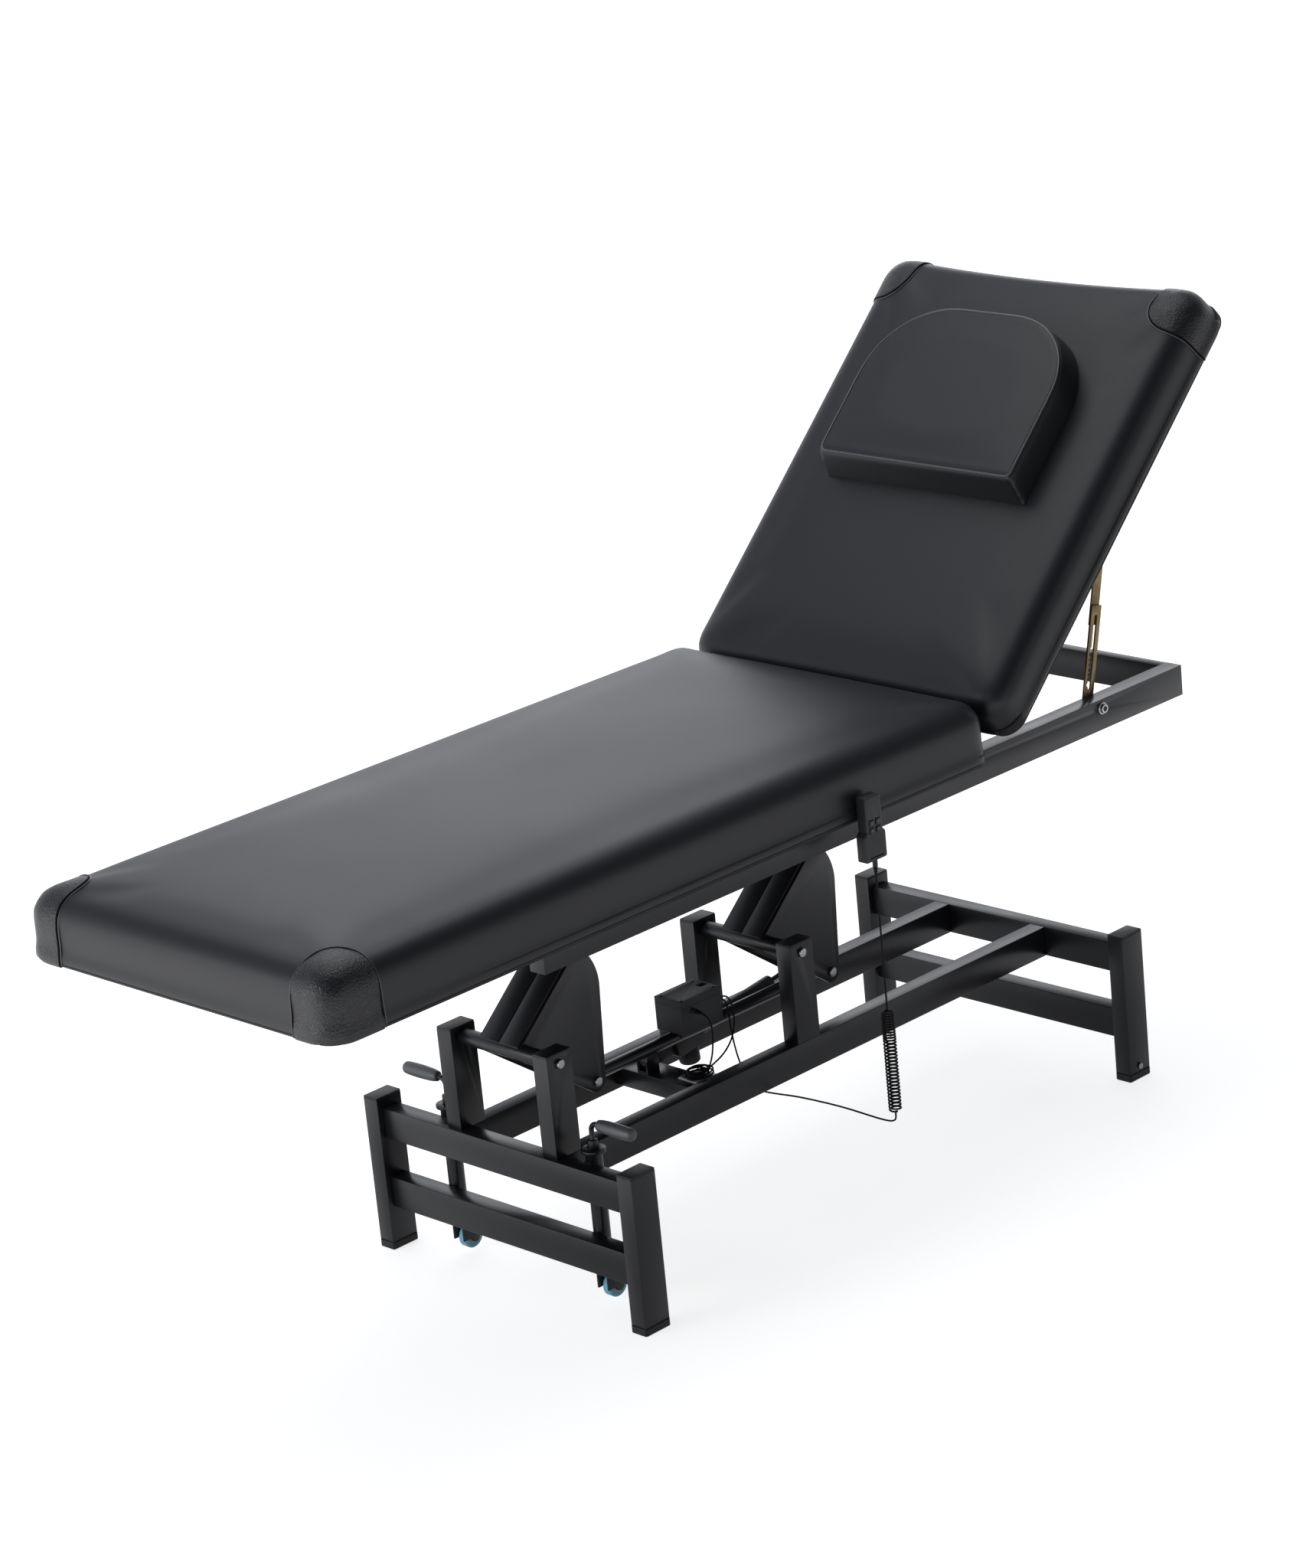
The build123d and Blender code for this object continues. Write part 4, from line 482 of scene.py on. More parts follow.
def dressNode(node, finish, edge):
    source = nodes[node]
    piece = source.copy()
    piece.data = source.data.copy()
    piece.name = node + "_dressed"
    bpy.context.scene.collection.objects.link(piece)
    piece.parent = None
    pick(piece)
    bpy.ops.object.mode_set(mode="EDIT")
    bpy.ops.mesh.select_all(action="SELECT")
    bpy.ops.mesh.remove_doubles(threshold=dressSetup["merge"])
    bpy.ops.mesh.dissolve_limited(angle_limit=dressSetup["flatAngle"])
    bpy.ops.object.mode_set(mode="OBJECT")
    if edge > 0:
        bevel = piece.modifiers.new("softEdge", "BEVEL")
        bevel.width = edge
        bevel.segments = 2
        bevel.limit_method = "ANGLE"
        bevel.angle_limit = dressSetup["bevelAngle"]
        bevel.harden_normals = False
        applyAll(piece)
    bpy.ops.object.shade_smooth_by_angle(angle=dressSetup["smoothAngle"])
    setMaterial(piece, paint[finish])
    body = source["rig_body"]
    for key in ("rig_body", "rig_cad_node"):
        if key in piece:
            del piece[key]
    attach(piece, body)
    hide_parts(node)
    return piece


def addPiece(obj, finish, body, node=None):
    # finish and body for a piece made here; node is what it stands for
    setMaterial(obj, paint[finish])
    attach(obj, body)
    if node:
        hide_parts(node)
    return obj


dressedPieces = {}
for node, (finish, edge) in dressed.items():
    setMaterial(nodes[node], paint[finish])
    dressedPieces[node] = dressNode(node, finish, edge)
print("CAD pieces dressed:", len(dressed))

# small things on the dressed pieces
trim = {
    "clipBelowTop": 0.0010,
    "markSize": 0.0021, "markDepth": 0.00018, "markSink": 0.00005,
    "slotWide": 0.030, "slotTall": 0.0024, "slotZ": 0.601, "slotDepth": 0.0002, "slotSink": 0.0001,
    "hexRadius": 0.0048, "hexTurn": 0.3, "hexDepth": 0.0003,
    "screwRadius": 0.0026, "screwInset": 0.008, "screwDepth": 0.0003, "screwSink": 0.0001,
}
# strain reliefs: radius at the top and at the end, length
handRelief = (0.0036, 0.0020, 0.013)
shortRelief = (0.0038, 0.0021, 0.012)
reliefShape = {"ribs": 3, "stepsPerRib": 6, "around": 20, "wave": 0.00035}


def makeMesh(name, points, faces):
    mesh = bpy.data.meshes.new(name)
    mesh.from_pydata([tuple(p) for p in points], [], faces)
    mesh.update()
    obj = bpy.data.objects.new(name, mesh)
    bpy.context.scene.collection.objects.link(obj)
    return obj


def prism(name, outline, depth, place):
    # an outline in local x and z, thick along local y, then placed
    count = len(outline)
    points = [place @ Vector((x, 0, z)) for x, z in outline] + [place @ Vector((x, -depth, z)) for x, z in outline]
    faces = [list(range(count)), list(range(2 * count - 1, count - 1, -1))]
    faces += [[i, i + count, (i + 1) % count + count, (i + 1) % count] for i in range(count)]
    return makeMesh(name, points, faces)


def ringFaces(rings, around):
    # quads between rings of points, and a face at each end
    faces = []
    for i in range(rings - 1):
        for k in range(around):
            a, b = i * around + k, i * around + (k + 1) % around
            faces.append([a, b, b + around, a + around])
    faces.append(list(range(around - 1, -1, -1)))
    faces.append([(rings - 1) * around + k for k in range(around)])
    return faces


def ribbedSleeve(name, start, direction, relief):
    # tapered strain relief with raised rings
    topRadius, endRadius, length = relief
    along = Vector(direction).normalized()
    across = along.orthogonal().normalized()
    other = along.cross(across)
    steps, around = reliefShape["ribs"] * reliefShape["stepsPerRib"], reliefShape["around"]
    points = []
    for i in range(steps + 1):
        share = i / steps
        wave = reliefShape["wave"] * (1 if (i // 3) % 2 == 0 else -1)
        radius = topRadius + (endRadius - topRadius) * share + wave
        centre = Vector(start) + along * length * share
        for k in range(around):
            angle = 2 * pi * k / around
            points.append(centre + (across * cos(angle) + other * sin(angle)) * radius)
    sleeve = makeMesh(name, points, ringFaces(steps + 1, around))
    pick(sleeve)
    bpy.ops.object.shade_smooth_by_angle(angle=radians(50))
    return sleeve


low, high = (Vector(c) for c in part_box("handset"))
for vertex in dressedPieces["handset_clip"].data.vertices:
    vertex.co.z = min(vertex.co.z, high.z - trim["clipBelowTop"])
size = trim["markSize"]
for node, up in (("key_up_left", 1), ("key_up_right", 1), ("key_down_left", -1), ("key_down_right", -1)):
    low, high = (Vector(c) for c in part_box(node))
    face = Matrix.Translation(((low.x + high.x) / 2, low.y + trim["markSink"], (low.z + high.z) / 2))
    outline = [(-size, -size * 0.7 * up), (size, -size * 0.7 * up), (0, size * 0.9 * up)]
    arrow = prism(node + "_mark", outline if up > 0 else outline[::-1], trim["markDepth"], face)
    addPiece(arrow, "markGrey", node)

# the handset's slot as a thin near-black strip on its face: painted shade of the slot's inside
low, high = (Vector(c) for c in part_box("handset"))
halfSlot, halfTall = trim["slotWide"] / 2, trim["slotTall"] / 2
slotShade = prism(
    "handset_slot_shade",
    [(-halfSlot, -halfTall), (halfSlot, -halfTall), (halfSlot, halfTall), (-halfSlot, halfTall)],
    trim["slotDepth"], Matrix.Translation(((low.x + high.x) / 2, low.y + trim["slotSink"], trim["slotZ"])),
)
addPiece(slotShade, "seamShade", "bed_frame")


def roundOutline(radius, sides, turned=0.0):
    angles = [2 * pi / sides * k + turned for k in range(sides)]
    return [(radius * cos(angle), radius * sin(angle)) for angle in angles]


# hex sockets on the strut bolts as near-black prisms: painted shade inside the sockets
low, high = (Vector(c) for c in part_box("strut_bolts"))
hexOutline = roundOutline(trim["hexRadius"], 6, trim["hexTurn"])
for side, faceY, turned in (("near", low.y, 0), ("far", high.y, pi)):
    spot = Matrix.Translation(((low.x + high.x) / 2, faceY, (low.z + high.z) / 2)) @ Matrix.Rotation(turned, 4, "Z")
    socket = prism(f"strut_bolt_socket_{side}", hexOutline, trim["hexDepth"], spot)
    addPiece(socket, "socketShadeSteel", "bed_frame")
# near-black discs at the lid's screws: painted shade of their recesses
low, high = (Vector(c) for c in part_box("control_lid"))
flat = Matrix.Rotation(radians(-90), 4, "X")
inset = trim["screwInset"]
screwSpots = [(x, y) for x in (low.x + inset, high.x - inset) for y in (low.y + inset, high.y - inset)]
for i, (x, y) in enumerate(screwSpots):
    spot = Matrix.Translation((x, y, high.z - trim["screwSink"])) @ flat
    screw = prism(f"lid_screw_{i}", roundOutline(trim["screwRadius"], 12), trim["screwDepth"], spot)
    addPiece(screw, "socketShadeSteel", "tie_rod")


# barrel grips in place of the plain tapered ones
gripProfile = (
    # share of the length from the free end, radius
    (0.0, 0.0045), (0.015, 0.0075), (0.05, 0.0093), (0.12, 0.0101), (0.30, 0.0107), (0.55, 0.0107), (0.78, 0.0101),
    (0.90, 0.0092), (0.95, 0.0084), (0.975, 0.0080), (1.0, 0.0062),
)
gripShape = {"around": 32, "flutes": 8, "fluteDepth": 0.012, "axisRounds": 12}


def makeGrip(node, body):
    # the solid's long axis is found from its points, its thicker end by their distance from it
    points = [v.co.copy() for v in nodes[node].data.vertices]
    middle = sum(points, Vector()) / len(points)
    along = max((p - middle for p in points), key=lambda d: d.length).normalized()
    for i in range(gripShape["axisRounds"]):
        along = sum(((p - middle) * (p - middle).dot(along) for p in points), Vector()).normalized()
    spans = [(p - middle).dot(along) for p in points]
    first, last = min(spans), max(spans)
    wide = {}
    for p, span in zip(points, spans):
        end = "first" if span < (first + last) / 2 else "last"
        wide[end] = max(wide.get(end, 0), (p - middle - along * span).length)
    if wide["last"] > wide["first"]:
        along, first, last = -along, -last, -first
    across = along.orthogonal().normalized()
    other = along.cross(across)
    around, rings = gripShape["around"], []
    for share, radius in gripProfile:
        centre = middle + along * (first + (last - first) * share)
        for k in range(around):
            angle = 2 * pi * k / around
            ridge = 1 + gripShape["fluteDepth"] * cos(angle * gripShape["flutes"])
            rings.append(centre + (across * cos(angle) + other * sin(angle)) * radius * ridge)
    grip = makeMesh(node + "_barrel", rings, ringFaces(len(gripProfile), around))
    pick(grip)
    bpy.ops.object.mode_set(mode="EDIT")
    bpy.ops.mesh.select_all(action="SELECT")
    bpy.ops.mesh.normals_make_consistent(inside=False)
    bpy.ops.object.mode_set(mode="OBJECT")
    bpy.ops.object.shade_smooth_by_angle(angle=radians(60))
    return addPiece(grip, "gripPlastic", body, node)


makeGrip("near_grip", "near_crank")
makeGrip("far_grip", "far_crank")
print("marks, sockets and grips are on")

# upholstery
padSetup = {
    "cornerRadius": {"seat_cover": 0.040, "back_cover": 0.047},
    "edgeRadius": {"seat_cover": 0.040, "back_cover": 0.038},
    "voxel": {"seat_cover": 0.010, "back_cover": 0.009},
    "endDip": {"seat_cover": 0.0, "back_cover": 0.010},
    "lowEdge": 0.004, "sideGap": 0.0012, "endGap": 0.002, "topGap": 0.001,
    # the tight strip above the board: how far it reaches in and up, its step and its flat part
    "strip": 0.0085, "stripStep": 0.0045, "stripFlat": 0.003, "levelBelow": 0.012,
    "hemRadius": 0.0012, "hemRise": 0.0028,
    "pressure": 4.0, "mostMove": 0.004, "pinnedShare": 0.8,
}
crownShape = {
    "height": 0.005, "drawIn": 0.0025, "acrossPower": 2.4, "alongPower": 6, "topShare": 0.6,
    "waist": 0.45, "dipFrom": 0.9, "dipWide": 0.78,
}
clothSetup = {"quality": 4, "stretch": 25, "bend": 2.0, "frames": 20, "evenRounds": 4}


def selectEdges(obj, test):
    pick(obj)
    bpy.ops.object.mode_set(mode="EDIT")
    bpy.ops.mesh.select_mode(type="EDGE")
    bpy.ops.mesh.select_all(action="DESELECT")
    bpy.ops.object.mode_set(mode="OBJECT")
    points = obj.data.vertices
    for edge in obj.data.edges:
        a, b = (points[i].co for i in edge.vertices)
        edge.select = test(a, b)
    bpy.ops.object.mode_set(mode="EDIT")


def bevelEdges(obj, test, offset, segments):
    selectEdges(obj, test)
    bpy.ops.mesh.bevel(offset=offset, segments=segments, profile=0.5)
    bpy.ops.object.mode_set(mode="OBJECT")


def padBlock(name, length, halfWidth, thickness):
    # a slab from x 0 to its length, top at z 0
    bpy.ops.mesh.primitive_cube_add(size=1, location=(length / 2, 0, -thickness / 2))
    pad = bpy.context.object
    pad.name = name
    pad.scale = (length, 2 * halfWidth, thickness)
    applyPlace(pad)
    bevelEdges(pad, lambda a, b: abs(a.z - b.z) > thickness / 2, padSetup["cornerRadius"][name], 8)
    bevelEdges(pad, lambda a, b: min(a.z, b.z) > -0.0001, padSetup["edgeRadius"][name], 8)
    bevelEdges(pad, lambda a, b: max(a.z, b.z) < -thickness + 0.0001, padSetup["lowEdge"], 2)
    return pad


def evenOut(obj, rounds):
    smooth = obj.modifiers.new("even", "SMOOTH")
    smooth.factor = 0.5
    smooth.iterations = rounds
    applyAll(obj)


def remeshSmooth(obj, voxel, rounds):
    pick(obj)
    obj.data.remesh_voxel_size = voxel
    obj.data.use_remesh_fix_poles = True
    bpy.ops.object.voxel_remesh()
    evenOut(obj, rounds)


def crispLowEdge(obj, length, half, thickness, radius):
    # the cover is pulled tight over its board: points by the lower edge go out to the board's outline
    strip = padSetup["strip"]
    for vertex in obj.data.vertices:
        p = vertex.co
        if p.z > -thickness + strip:
            continue
        signX, signY = (1 if p.x > length / 2 else -1), (1 if p.y > 0 else -1)
        qx = abs(p.x - length / 2) - (length / 2 - radius)
        qy = abs(p.y) - (half - radius)
        if qx > 0 and qy > 0:
            reach = (qx * qx + qy * qy) ** 0.5
            gap, outX, outY = radius - reach, qx / reach, qy / reach
        elif qx > qy:
            gap, outX, outY = radius - qx, 1.0, 0.0
        else:
            gap, outX, outY = radius - qy, 0.0, 1.0
        if gap < strip:
            p.x += signX * outX * gap
            p.y += signY * outY * gap
            flat = p.z <= -thickness + padSetup["stripFlat"]
            p.z = -thickness if flat else min(p.z, -thickness + padSetup["stripStep"])


def swell(obj, pressure, cap, pinTest):
    # cloth with air pressure, each point held within a small distance of where it started
    start = [v.co.copy() for v in obj.data.vertices]
    pins = obj.vertex_groups.new(name="held")
    pins.add([v.index for v in obj.data.vertices if pinTest(v.co)], 1.0, "REPLACE")
    cloth = obj.modifiers.new("air", "CLOTH")
    cloth.settings.quality = clothSetup["quality"]
    cloth.settings.use_pressure = True
    cloth.settings.uniform_pressure_force = pressure
    cloth.settings.effector_weights.gravity = 0
    cloth.settings.vertex_group_mass = "held"
    cloth.settings.tension_stiffness = clothSetup["stretch"]
    cloth.settings.compression_stiffness = clothSetup["stretch"]
    cloth.settings.bending_stiffness = clothSetup["bend"]
    scene.frame_start, scene.frame_end = 1, clothSetup["frames"]
    for step in range(1, clothSetup["frames"] + 1):
        scene.frame_set(step)
    pick(obj)
    bpy.ops.object.modifier_apply(modifier=cloth.name)
    scene.frame_set(1)
    for vertex, home in zip(obj.data.vertices, start):
        move = vertex.co - home
        if move.length > cap:
            vertex.co = home + move * (cap / move.length)
    evenOut(obj, clothSetup["evenRounds"])


def crownPad(obj, length, halfWidth, thickness, endDip):
    # vertex moves: low dome over the top, sides drawn in between the corners, a dip in the head end
    for vertex in obj.data.vertices:
        p = vertex.co
        across = min(1.0, abs(p.y) / halfWidth)
        along = min(1.0, abs(p.x - length / 2) / (length / 2))
        lift = (1 - across ** crownShape["acrossPower"]) * (1 - along ** crownShape["alongPower"])
        top = max(0.0, 1 + p.z / (thickness * crownShape["topShare"]))
        p.z -= crownShape["height"] * (1 - lift) * min(1.0, top)
        middle = (1 - along ** 2) * max(0.0, 1 - abs(p.z + thickness * crownShape["waist"]) / thickness)
        p.y -= crownShape["drawIn"] * middle * (1 if p.y > 0 else -1) * across ** 6
        dipFrom = crownShape["dipFrom"]
        if endDip and p.x > length * dipFrom:
            reach = (p.x / length - dipFrom) / (1 - dipFrom)
            p.x -= endDip * (1 - min(1.0, across / crownShape["dipWide"]) ** 2) * reach ** 2


def makePad(name, length, thickness):
    half = table["padHalfWidth"] - padSetup["sideGap"]
    pad = padBlock(name, length - padSetup["endGap"], half, thickness)
    remeshSmooth(pad, padSetup["voxel"][name], 6)
    crispLowEdge(pad, length - padSetup["endGap"], half, thickness, padSetup["cornerRadius"][name])
    crownPad(pad, length, half, thickness, padSetup["endDip"][name])
    swell(pad, padSetup["pressure"], padSetup["mostMove"], lambda p: p.z < -thickness * padSetup["pinnedShare"])
    for vertex in pad.data.vertices:
        if vertex.co.z < -thickness + padSetup["levelBelow"]:
            vertex.co.z = max(vertex.co.z, -thickness)
    return pad


capSetup = {
    "along": 0.093, "across": 0.080, "radius": 0.045, "edge": 0.0011, "proud": 0.0026, "above": 0.0002,
    "cutReach": 0.03, "rayDepth": 0.052, "seamFoot": 0.004,
    # bead: how far past the seam, how far off the cover, radius, finish
    # the near-black bead is painted shadow in the seam's gap, the lighter one a painted highlight on the cover's edge
    "beads": {"stitch": (0.0006, 0.0022, 0.0015, "seamShade"), "weltHighlight": (0.0034, 0.0006, 0.0014, "creaseHighlightVinyl")},
}


def cutCorner(name, pad, side, length, thickness, atFarEnd):
    # a slightly larger copy of the pad, kept only over one corner
    cap = pad.copy()
    cap.data = pad.data.copy()
    cap.name = name
    bpy.context.scene.collection.objects.link(cap)
    grow = cap.modifiers.new("proud", "DISPLACE")
    grow.strength = capSetup["proud"]
    grow.mid_level = 0
    applyAll(cap)
    for vertex in cap.data.vertices:
        vertex.co.z = max(vertex.co.z, -thickness - capSetup["above"])
    along, across, reach = capSetup["along"], capSetup["across"], capSetup["cutReach"]
    middleX = length - along / 2 + reach / 2 if atFarEnd else along / 2 - reach / 2
    middleY = side * (table["padHalfWidth"] - across / 2 + reach / 2)
    bpy.ops.mesh.primitive_cube_add(size=1, location=(middleX, middleY, -thickness / 2))
    cutter = bpy.context.object
    cutter.scale = (along + reach, across + reach, thickness + 0.05)
    applyPlace(cutter)
    innerX = length - along if atFarEnd else along
    innerY = side * (table["padHalfWidth"] - across)
    bevelEdges(
        cutter,
        lambda a, b: abs(a.z - b.z) > thickness / 2 and abs(a.x - innerX) < 0.001 and abs(a.y - innerY) < 0.001,
        capSetup["radius"], 14,
    )
    keep = cap.modifiers.new("corner", "BOOLEAN")
    keep.operation = "INTERSECT"
    keep.object = cutter
    keep.solver = "EXACT"
    applyAll(cap)
    bpy.data.objects.remove(cutter)
    return cap


def seamLine(pad, side, length, thickness, atFarEnd, past, lift):
    # where the corner piece ends, followed over the cover: up the end, round the corner, down the side
    out = 1 if atFarEnd else -1
    endX = length if atFarEnd else 0.0
    radius = capSetup["radius"] + past
    innerX = endX - out * (capSetup["along"] + past)
    innerY = side * (table["padHalfWidth"] - capSetup["across"] - past)
    deep, low = capSetup["rayDepth"], -thickness + capSetup["seamFoot"]
    rays = []
    for i in range(7):
        rays.append(((endX - out * deep, innerY, low + (-deep - low) * i / 7), (out, 0, 0)))
    for i in range(9):
        turned = pi / 2 * i / 8
        rays.append(((endX - out * deep, innerY, -deep), (out * cos(turned), 0, sin(turned))))
    for i in range(1, 11):
        turned = pi / 2 * i / 10
        x = innerX + out * radius * (1 - sin(turned))
        y = innerY + side * radius * (1 - cos(turned))
        rays.append(((x, y, -deep), (0, 0, 1)))
    sideY = side * (table["padHalfWidth"] - deep)
    for i in range(2, 9):
        turned = pi / 2 * (1 - i / 8)
        rays.append(((innerX, sideY, -deep), (0, side * cos(turned), sin(turned))))
    for i in range(1, 8):
        rays.append(((innerX, sideY, -deep + (low + deep) * i / 7), (0, side, 0)))
    line = []
    for origin, direction in rays:
        hit, spot, normal = pad.ray_cast(Vector(origin), Vector(direction))[:3]
        if hit:
            line.append(spot + normal * lift)
    for i in range(2):
        line = [line[0]] + [(a + b * 2 + c) / 4 for a, b, c in zip(line, line[1:], line[2:])] + [line[-1]]
    return line


def makeCaps(name, pad, length, thickness, atFarEnd, place):
    # leather corner pieces, each with a near-black bead of painted shadow in the seam and a lighter bead of painted
    # highlight on the cover's edge beside it
    pieces = []
    for side in (-1, 1):
        end = "near" if side < 0 else "far"
        cap = cutCorner(f"{name}_{end}", pad, side, length, thickness, atFarEnd)
        fold = cap.modifiers.new("fold", "BEVEL")
        fold.width = capSetup["edge"]
        fold.segments = 3
        fold.angle_limit = radians(50)
        applyAll(cap)
        pick(cap)
        bpy.ops.object.shade_smooth_by_angle(angle=radians(50))
        pieces.append((cap, "cornerLeather"))
        for bead, (past, lift, radius, finish) in capSetup["beads"].items():
            line = seamLine(pad, side, length, thickness, atFarEnd, past, lift)
            pieces.append((tubeMesh(f"{name}_{bead}_{end}", line, radius, False), finish))
    for piece, finish in pieces:
        piece.matrix_world = place
        applyPlace(piece)
    return pieces


def tubeMesh(name, line, radius, closed):
    # a thin bead along a line of points, as a mesh
    curve = bpy.data.curves.new(name, "CURVE")
    curve.dimensions = "3D"
    curve.bevel_depth = radius
    curve.bevel_resolution = 3
    spline = curve.splines.new("POLY")
    spline.points.add(len(line) - 1)
    for knot, spot in zip(spline.points, line):
        knot.co = (*spot, 1)
    spline.use_cyclic_u = closed
    curve.use_fill_caps = not closed
    bead = bpy.data.objects.new(name, curve)
    bpy.context.scene.collection.objects.link(bead)
    pick(bead)
    bpy.ops.object.convert(target="MESH")
    bead = bpy.context.object
    bpy.ops.object.shade_smooth()
    return bead


def closeSpots(path, step):
    # a closed path with spots no further apart than the step
    spots = []
    for a, b in zip(path, path[1:] + path[:1]):
        count = max(1, int((b - a).length / step))
        spots += [a.lerp(b, i / count) for i in range(count)]
    return spots


def roundedPath(x0, x1, half, radius, z):
    # closed rectangle with rounded corners, as close points
    path = []
    corners = (
        ((x1 - radius, -half + radius), -pi / 2), ((x1 - radius, half - radius), 0.0),
        ((x0 + radius, half - radius), pi / 2), ((x0 + radius, -half + radius), pi),
    )
    for (cx, cy), start in corners:
        angles = [start + pi / 2 * k / 8 for k in range(9)]
        path += [Vector((cx + radius * cos(angle), cy + radius * sin(angle), z)) for angle in angles]
    return closeSpots(path, 0.012)


def makeHem(pad, length, thickness, place, body, node):
    # the sewn lower edge of a cover, laid on the finished cover's surface
    half = table["padHalfWidth"] - padSetup["sideGap"]
    corner = padSetup["cornerRadius"][pad.name]
    line = roundedPath(0.0, length - padSetup["endGap"], half, corner, -thickness + padSetup["hemRise"])
    back = place.inverted()
    line = [back @ pad.closest_point_on_mesh(place @ spot)[1] for spot in line]
    hem = tubeMesh(pad.name.replace("cover", "hem"), line, padSetup["hemRadius"], True)
    hem.matrix_world = place
    applyPlace(hem)
    return addPiece(hem, "vinyl", body, node)


def finishPad(pad, material, place):
    refine = pad.modifiers.new("refine", "SUBSURF")
    refine.levels = refine.render_levels = 1
    applyAll(pad)
    bpy.ops.object.shade_smooth()
    setMaterial(pad, material)
    pad.matrix_world = place
    applyPlace(pad)


hingeX, hingeZ = table["hinge"]
alongX, alongZ = cos(table["backAngle"]), sin(table["backAngle"])
backCorner = Vector((
    hingeX - table["hingeAlong"] * alongX - table["hingeDepth"] * alongZ,
    0,
    hingeZ - table["hingeAlong"] * alongZ + table["hingeDepth"] * alongX,
))
backPlace = Matrix.Translation(backCorner) @ Matrix.Rotation(-table["backAngle"], 4, "Y")
seatPlace = Matrix.Translation((tableX(table["seatStart"]), 0, table["seatTopZ"] - padSetup["topGap"] / 2))


def upholster(name, length, thickness, atFarEnd, place, body):
    # name is the CAD's word for the cushion: seat or back
    thin = thickness - padSetup["topGap"]
    pad = makePad(f"{name}_cover", length, thin)
    caps = makeCaps(f"{name}_corner", pad, length - padSetup["endGap"], thickness, atFarEnd, place)
    finishPad(pad, paint["vinyl"], place)
    addPiece(pad, "vinyl", body, f"{name}_pad")
    for piece, finish in caps:
        addPiece(piece, finish, body, f"{name}_corner_caps")
    return pad, thin


seatPad, seatThin = upholster("seat", table["seatLength"], table["seatThickness"], False, seatPlace, "bed_frame")
makeHem(seatPad, table["seatLength"], seatThin, seatPlace, "bed_frame", "seat_pad")
upholster("back", table["backLength"], table["backThickness"], True, backPlace, "backrest")
print("seat and back are upholstered")

# pillow: sloping sides, a crease with a lighter bead round its top, a painted highlight on the crease
pillowSetup = {
    "along": 0.353, "length": 0.316, "width": 0.420, "thick": 0.060, "sunk": 0.004, "corner": 0.146, "edge": 0.008,
    "voxel": 0.005, "slopeFoot": 0.020, "slopeHead": 0.006, "slopeSide": 0.008,
    "bead": 0.0019, "beadStep": 0.008, "beadLift": 0.0003,
    # only the middle of the top swells: how far the held rim reaches in, and the arc at the head end
    "pressure": 4.0, "mostMove": 0.003, "rim": 0.022, "rimDepth": 0.004, "arcRadius": 0.150, "arcMiddle": 0.060,
}
topZ = pillowSetup["thick"] - pillowSetup["sunk"]
footX, headX = pillowSetup["along"], pillowSetup["along"] + pillowSetup["length"]
bpy.ops.mesh.primitive_cube_add(size=1, location=((footX + headX) / 2, 0, topZ - pillowSetup["thick"] / 2))
pillow = bpy.context.object
pillow.name = "pillow_cover"
pillow.scale = (pillowSetup["length"], pillowSetup["width"], pillowSetup["thick"])
applyPlace(pillow)
bevelEdges(pillow, lambda a, b: abs(a.z - b.z) > 0.02 and min(a.x, b.x) > headX - 0.001, pillowSetup["corner"], 20)


def slopePoint(p):
    # the crease lies inside the foot of the sides
    rise = max(0.0, p.z) / topZ
    share = (p.x - footX) / (headX - footX)
    p.x += rise * (pillowSetup["slopeFoot"] * (1 - share) - pillowSetup["slopeHead"] * share)
    p.y *= 1 - rise * 2 * pillowSetup["slopeSide"] / pillowSetup["width"]


for vertex in pillow.data.vertices:
    slopePoint(vertex.co)
creaseLine = [v.co.copy() for v in pillow.data.vertices if v.co.z > topZ - 0.0005]
middle = sum(creaseLine, Vector()) / len(creaseLine)
creaseLine.sort(key=lambda p: -(p - middle).xy.angle_signed(Vector((1, 0))))
bevelEdges(pillow, lambda a, b: min(a.z, b.z) > topZ - 0.0005, pillowSetup["edge"], 5)
remeshSmooth(pillow, pillowSetup["voxel"], 2)


def heldOnPillow(p):
    rim, arc = pillowSetup["rim"], pillowSetup["arcRadius"]
    fromArc = Vector((max(0.0, p.x - headX + arc), max(0.0, abs(p.y) - pillowSetup["arcMiddle"])))
    return (
        p.z < topZ - pillowSetup["rimDepth"] or p.x < footX + pillowSetup["slopeFoot"] + rim
        or fromArc.length > arc - rim or abs(p.y) > pillowSetup["width"] / 2 - pillowSetup["slopeSide"] - rim
    )


swell(pillow, pillowSetup["pressure"], pillowSetup["mostMove"], heldOnPillow)
beadLine = []
for p in closeSpots(creaseLine, pillowSetup["beadStep"]):
    spot, normal = pillow.closest_point_on_mesh(p)[1:3]
    beadLine.append(spot + normal * pillowSetup["beadLift"])
for i in range(3):
    before, after = beadLine[-1:] + beadLine[:-1], beadLine[1:] + beadLine[:1]
    beadLine = [(a + b * 2 + c) / 4 for a, b, c in zip(before, beadLine, after)]
# the bead is lighter than the cover: painted highlight along the crease
bead = tubeMesh("pillow_bead_highlight", beadLine, pillowSetup["bead"], True)
bead.matrix_world = backPlace
applyPlace(bead)
addPiece(bead, "creaseHighlightVinyl", "backrest", "pillow")
finishPad(pillow, paint["pillowVinyl"], backPlace)
addPiece(pillow, "pillowVinyl", "backrest", "pillow")
print("pillow is in place")


# cords
def cordCurve(name, points, diameter):
    curve = bpy.data.curves.new(name, "CURVE")
    curve.dimensions = "3D"
    curve.bevel_depth = diameter / 2
    curve.bevel_resolution = 4
    curve.resolution_u = 8
    spline = curve.splines.new("NURBS")
    spline.points.add(len(points) - 1)
    for knot, place in zip(spline.points, points):
        knot.co = (*place, 1)
    spline.order_u = 3
    spline.use_endpoint_u = True
    cord = bpy.data.objects.new(name, curve)
    bpy.context.scene.collection.objects.link(cord)
    cord.data.materials.append(paint["rubberCord"])
    return cord


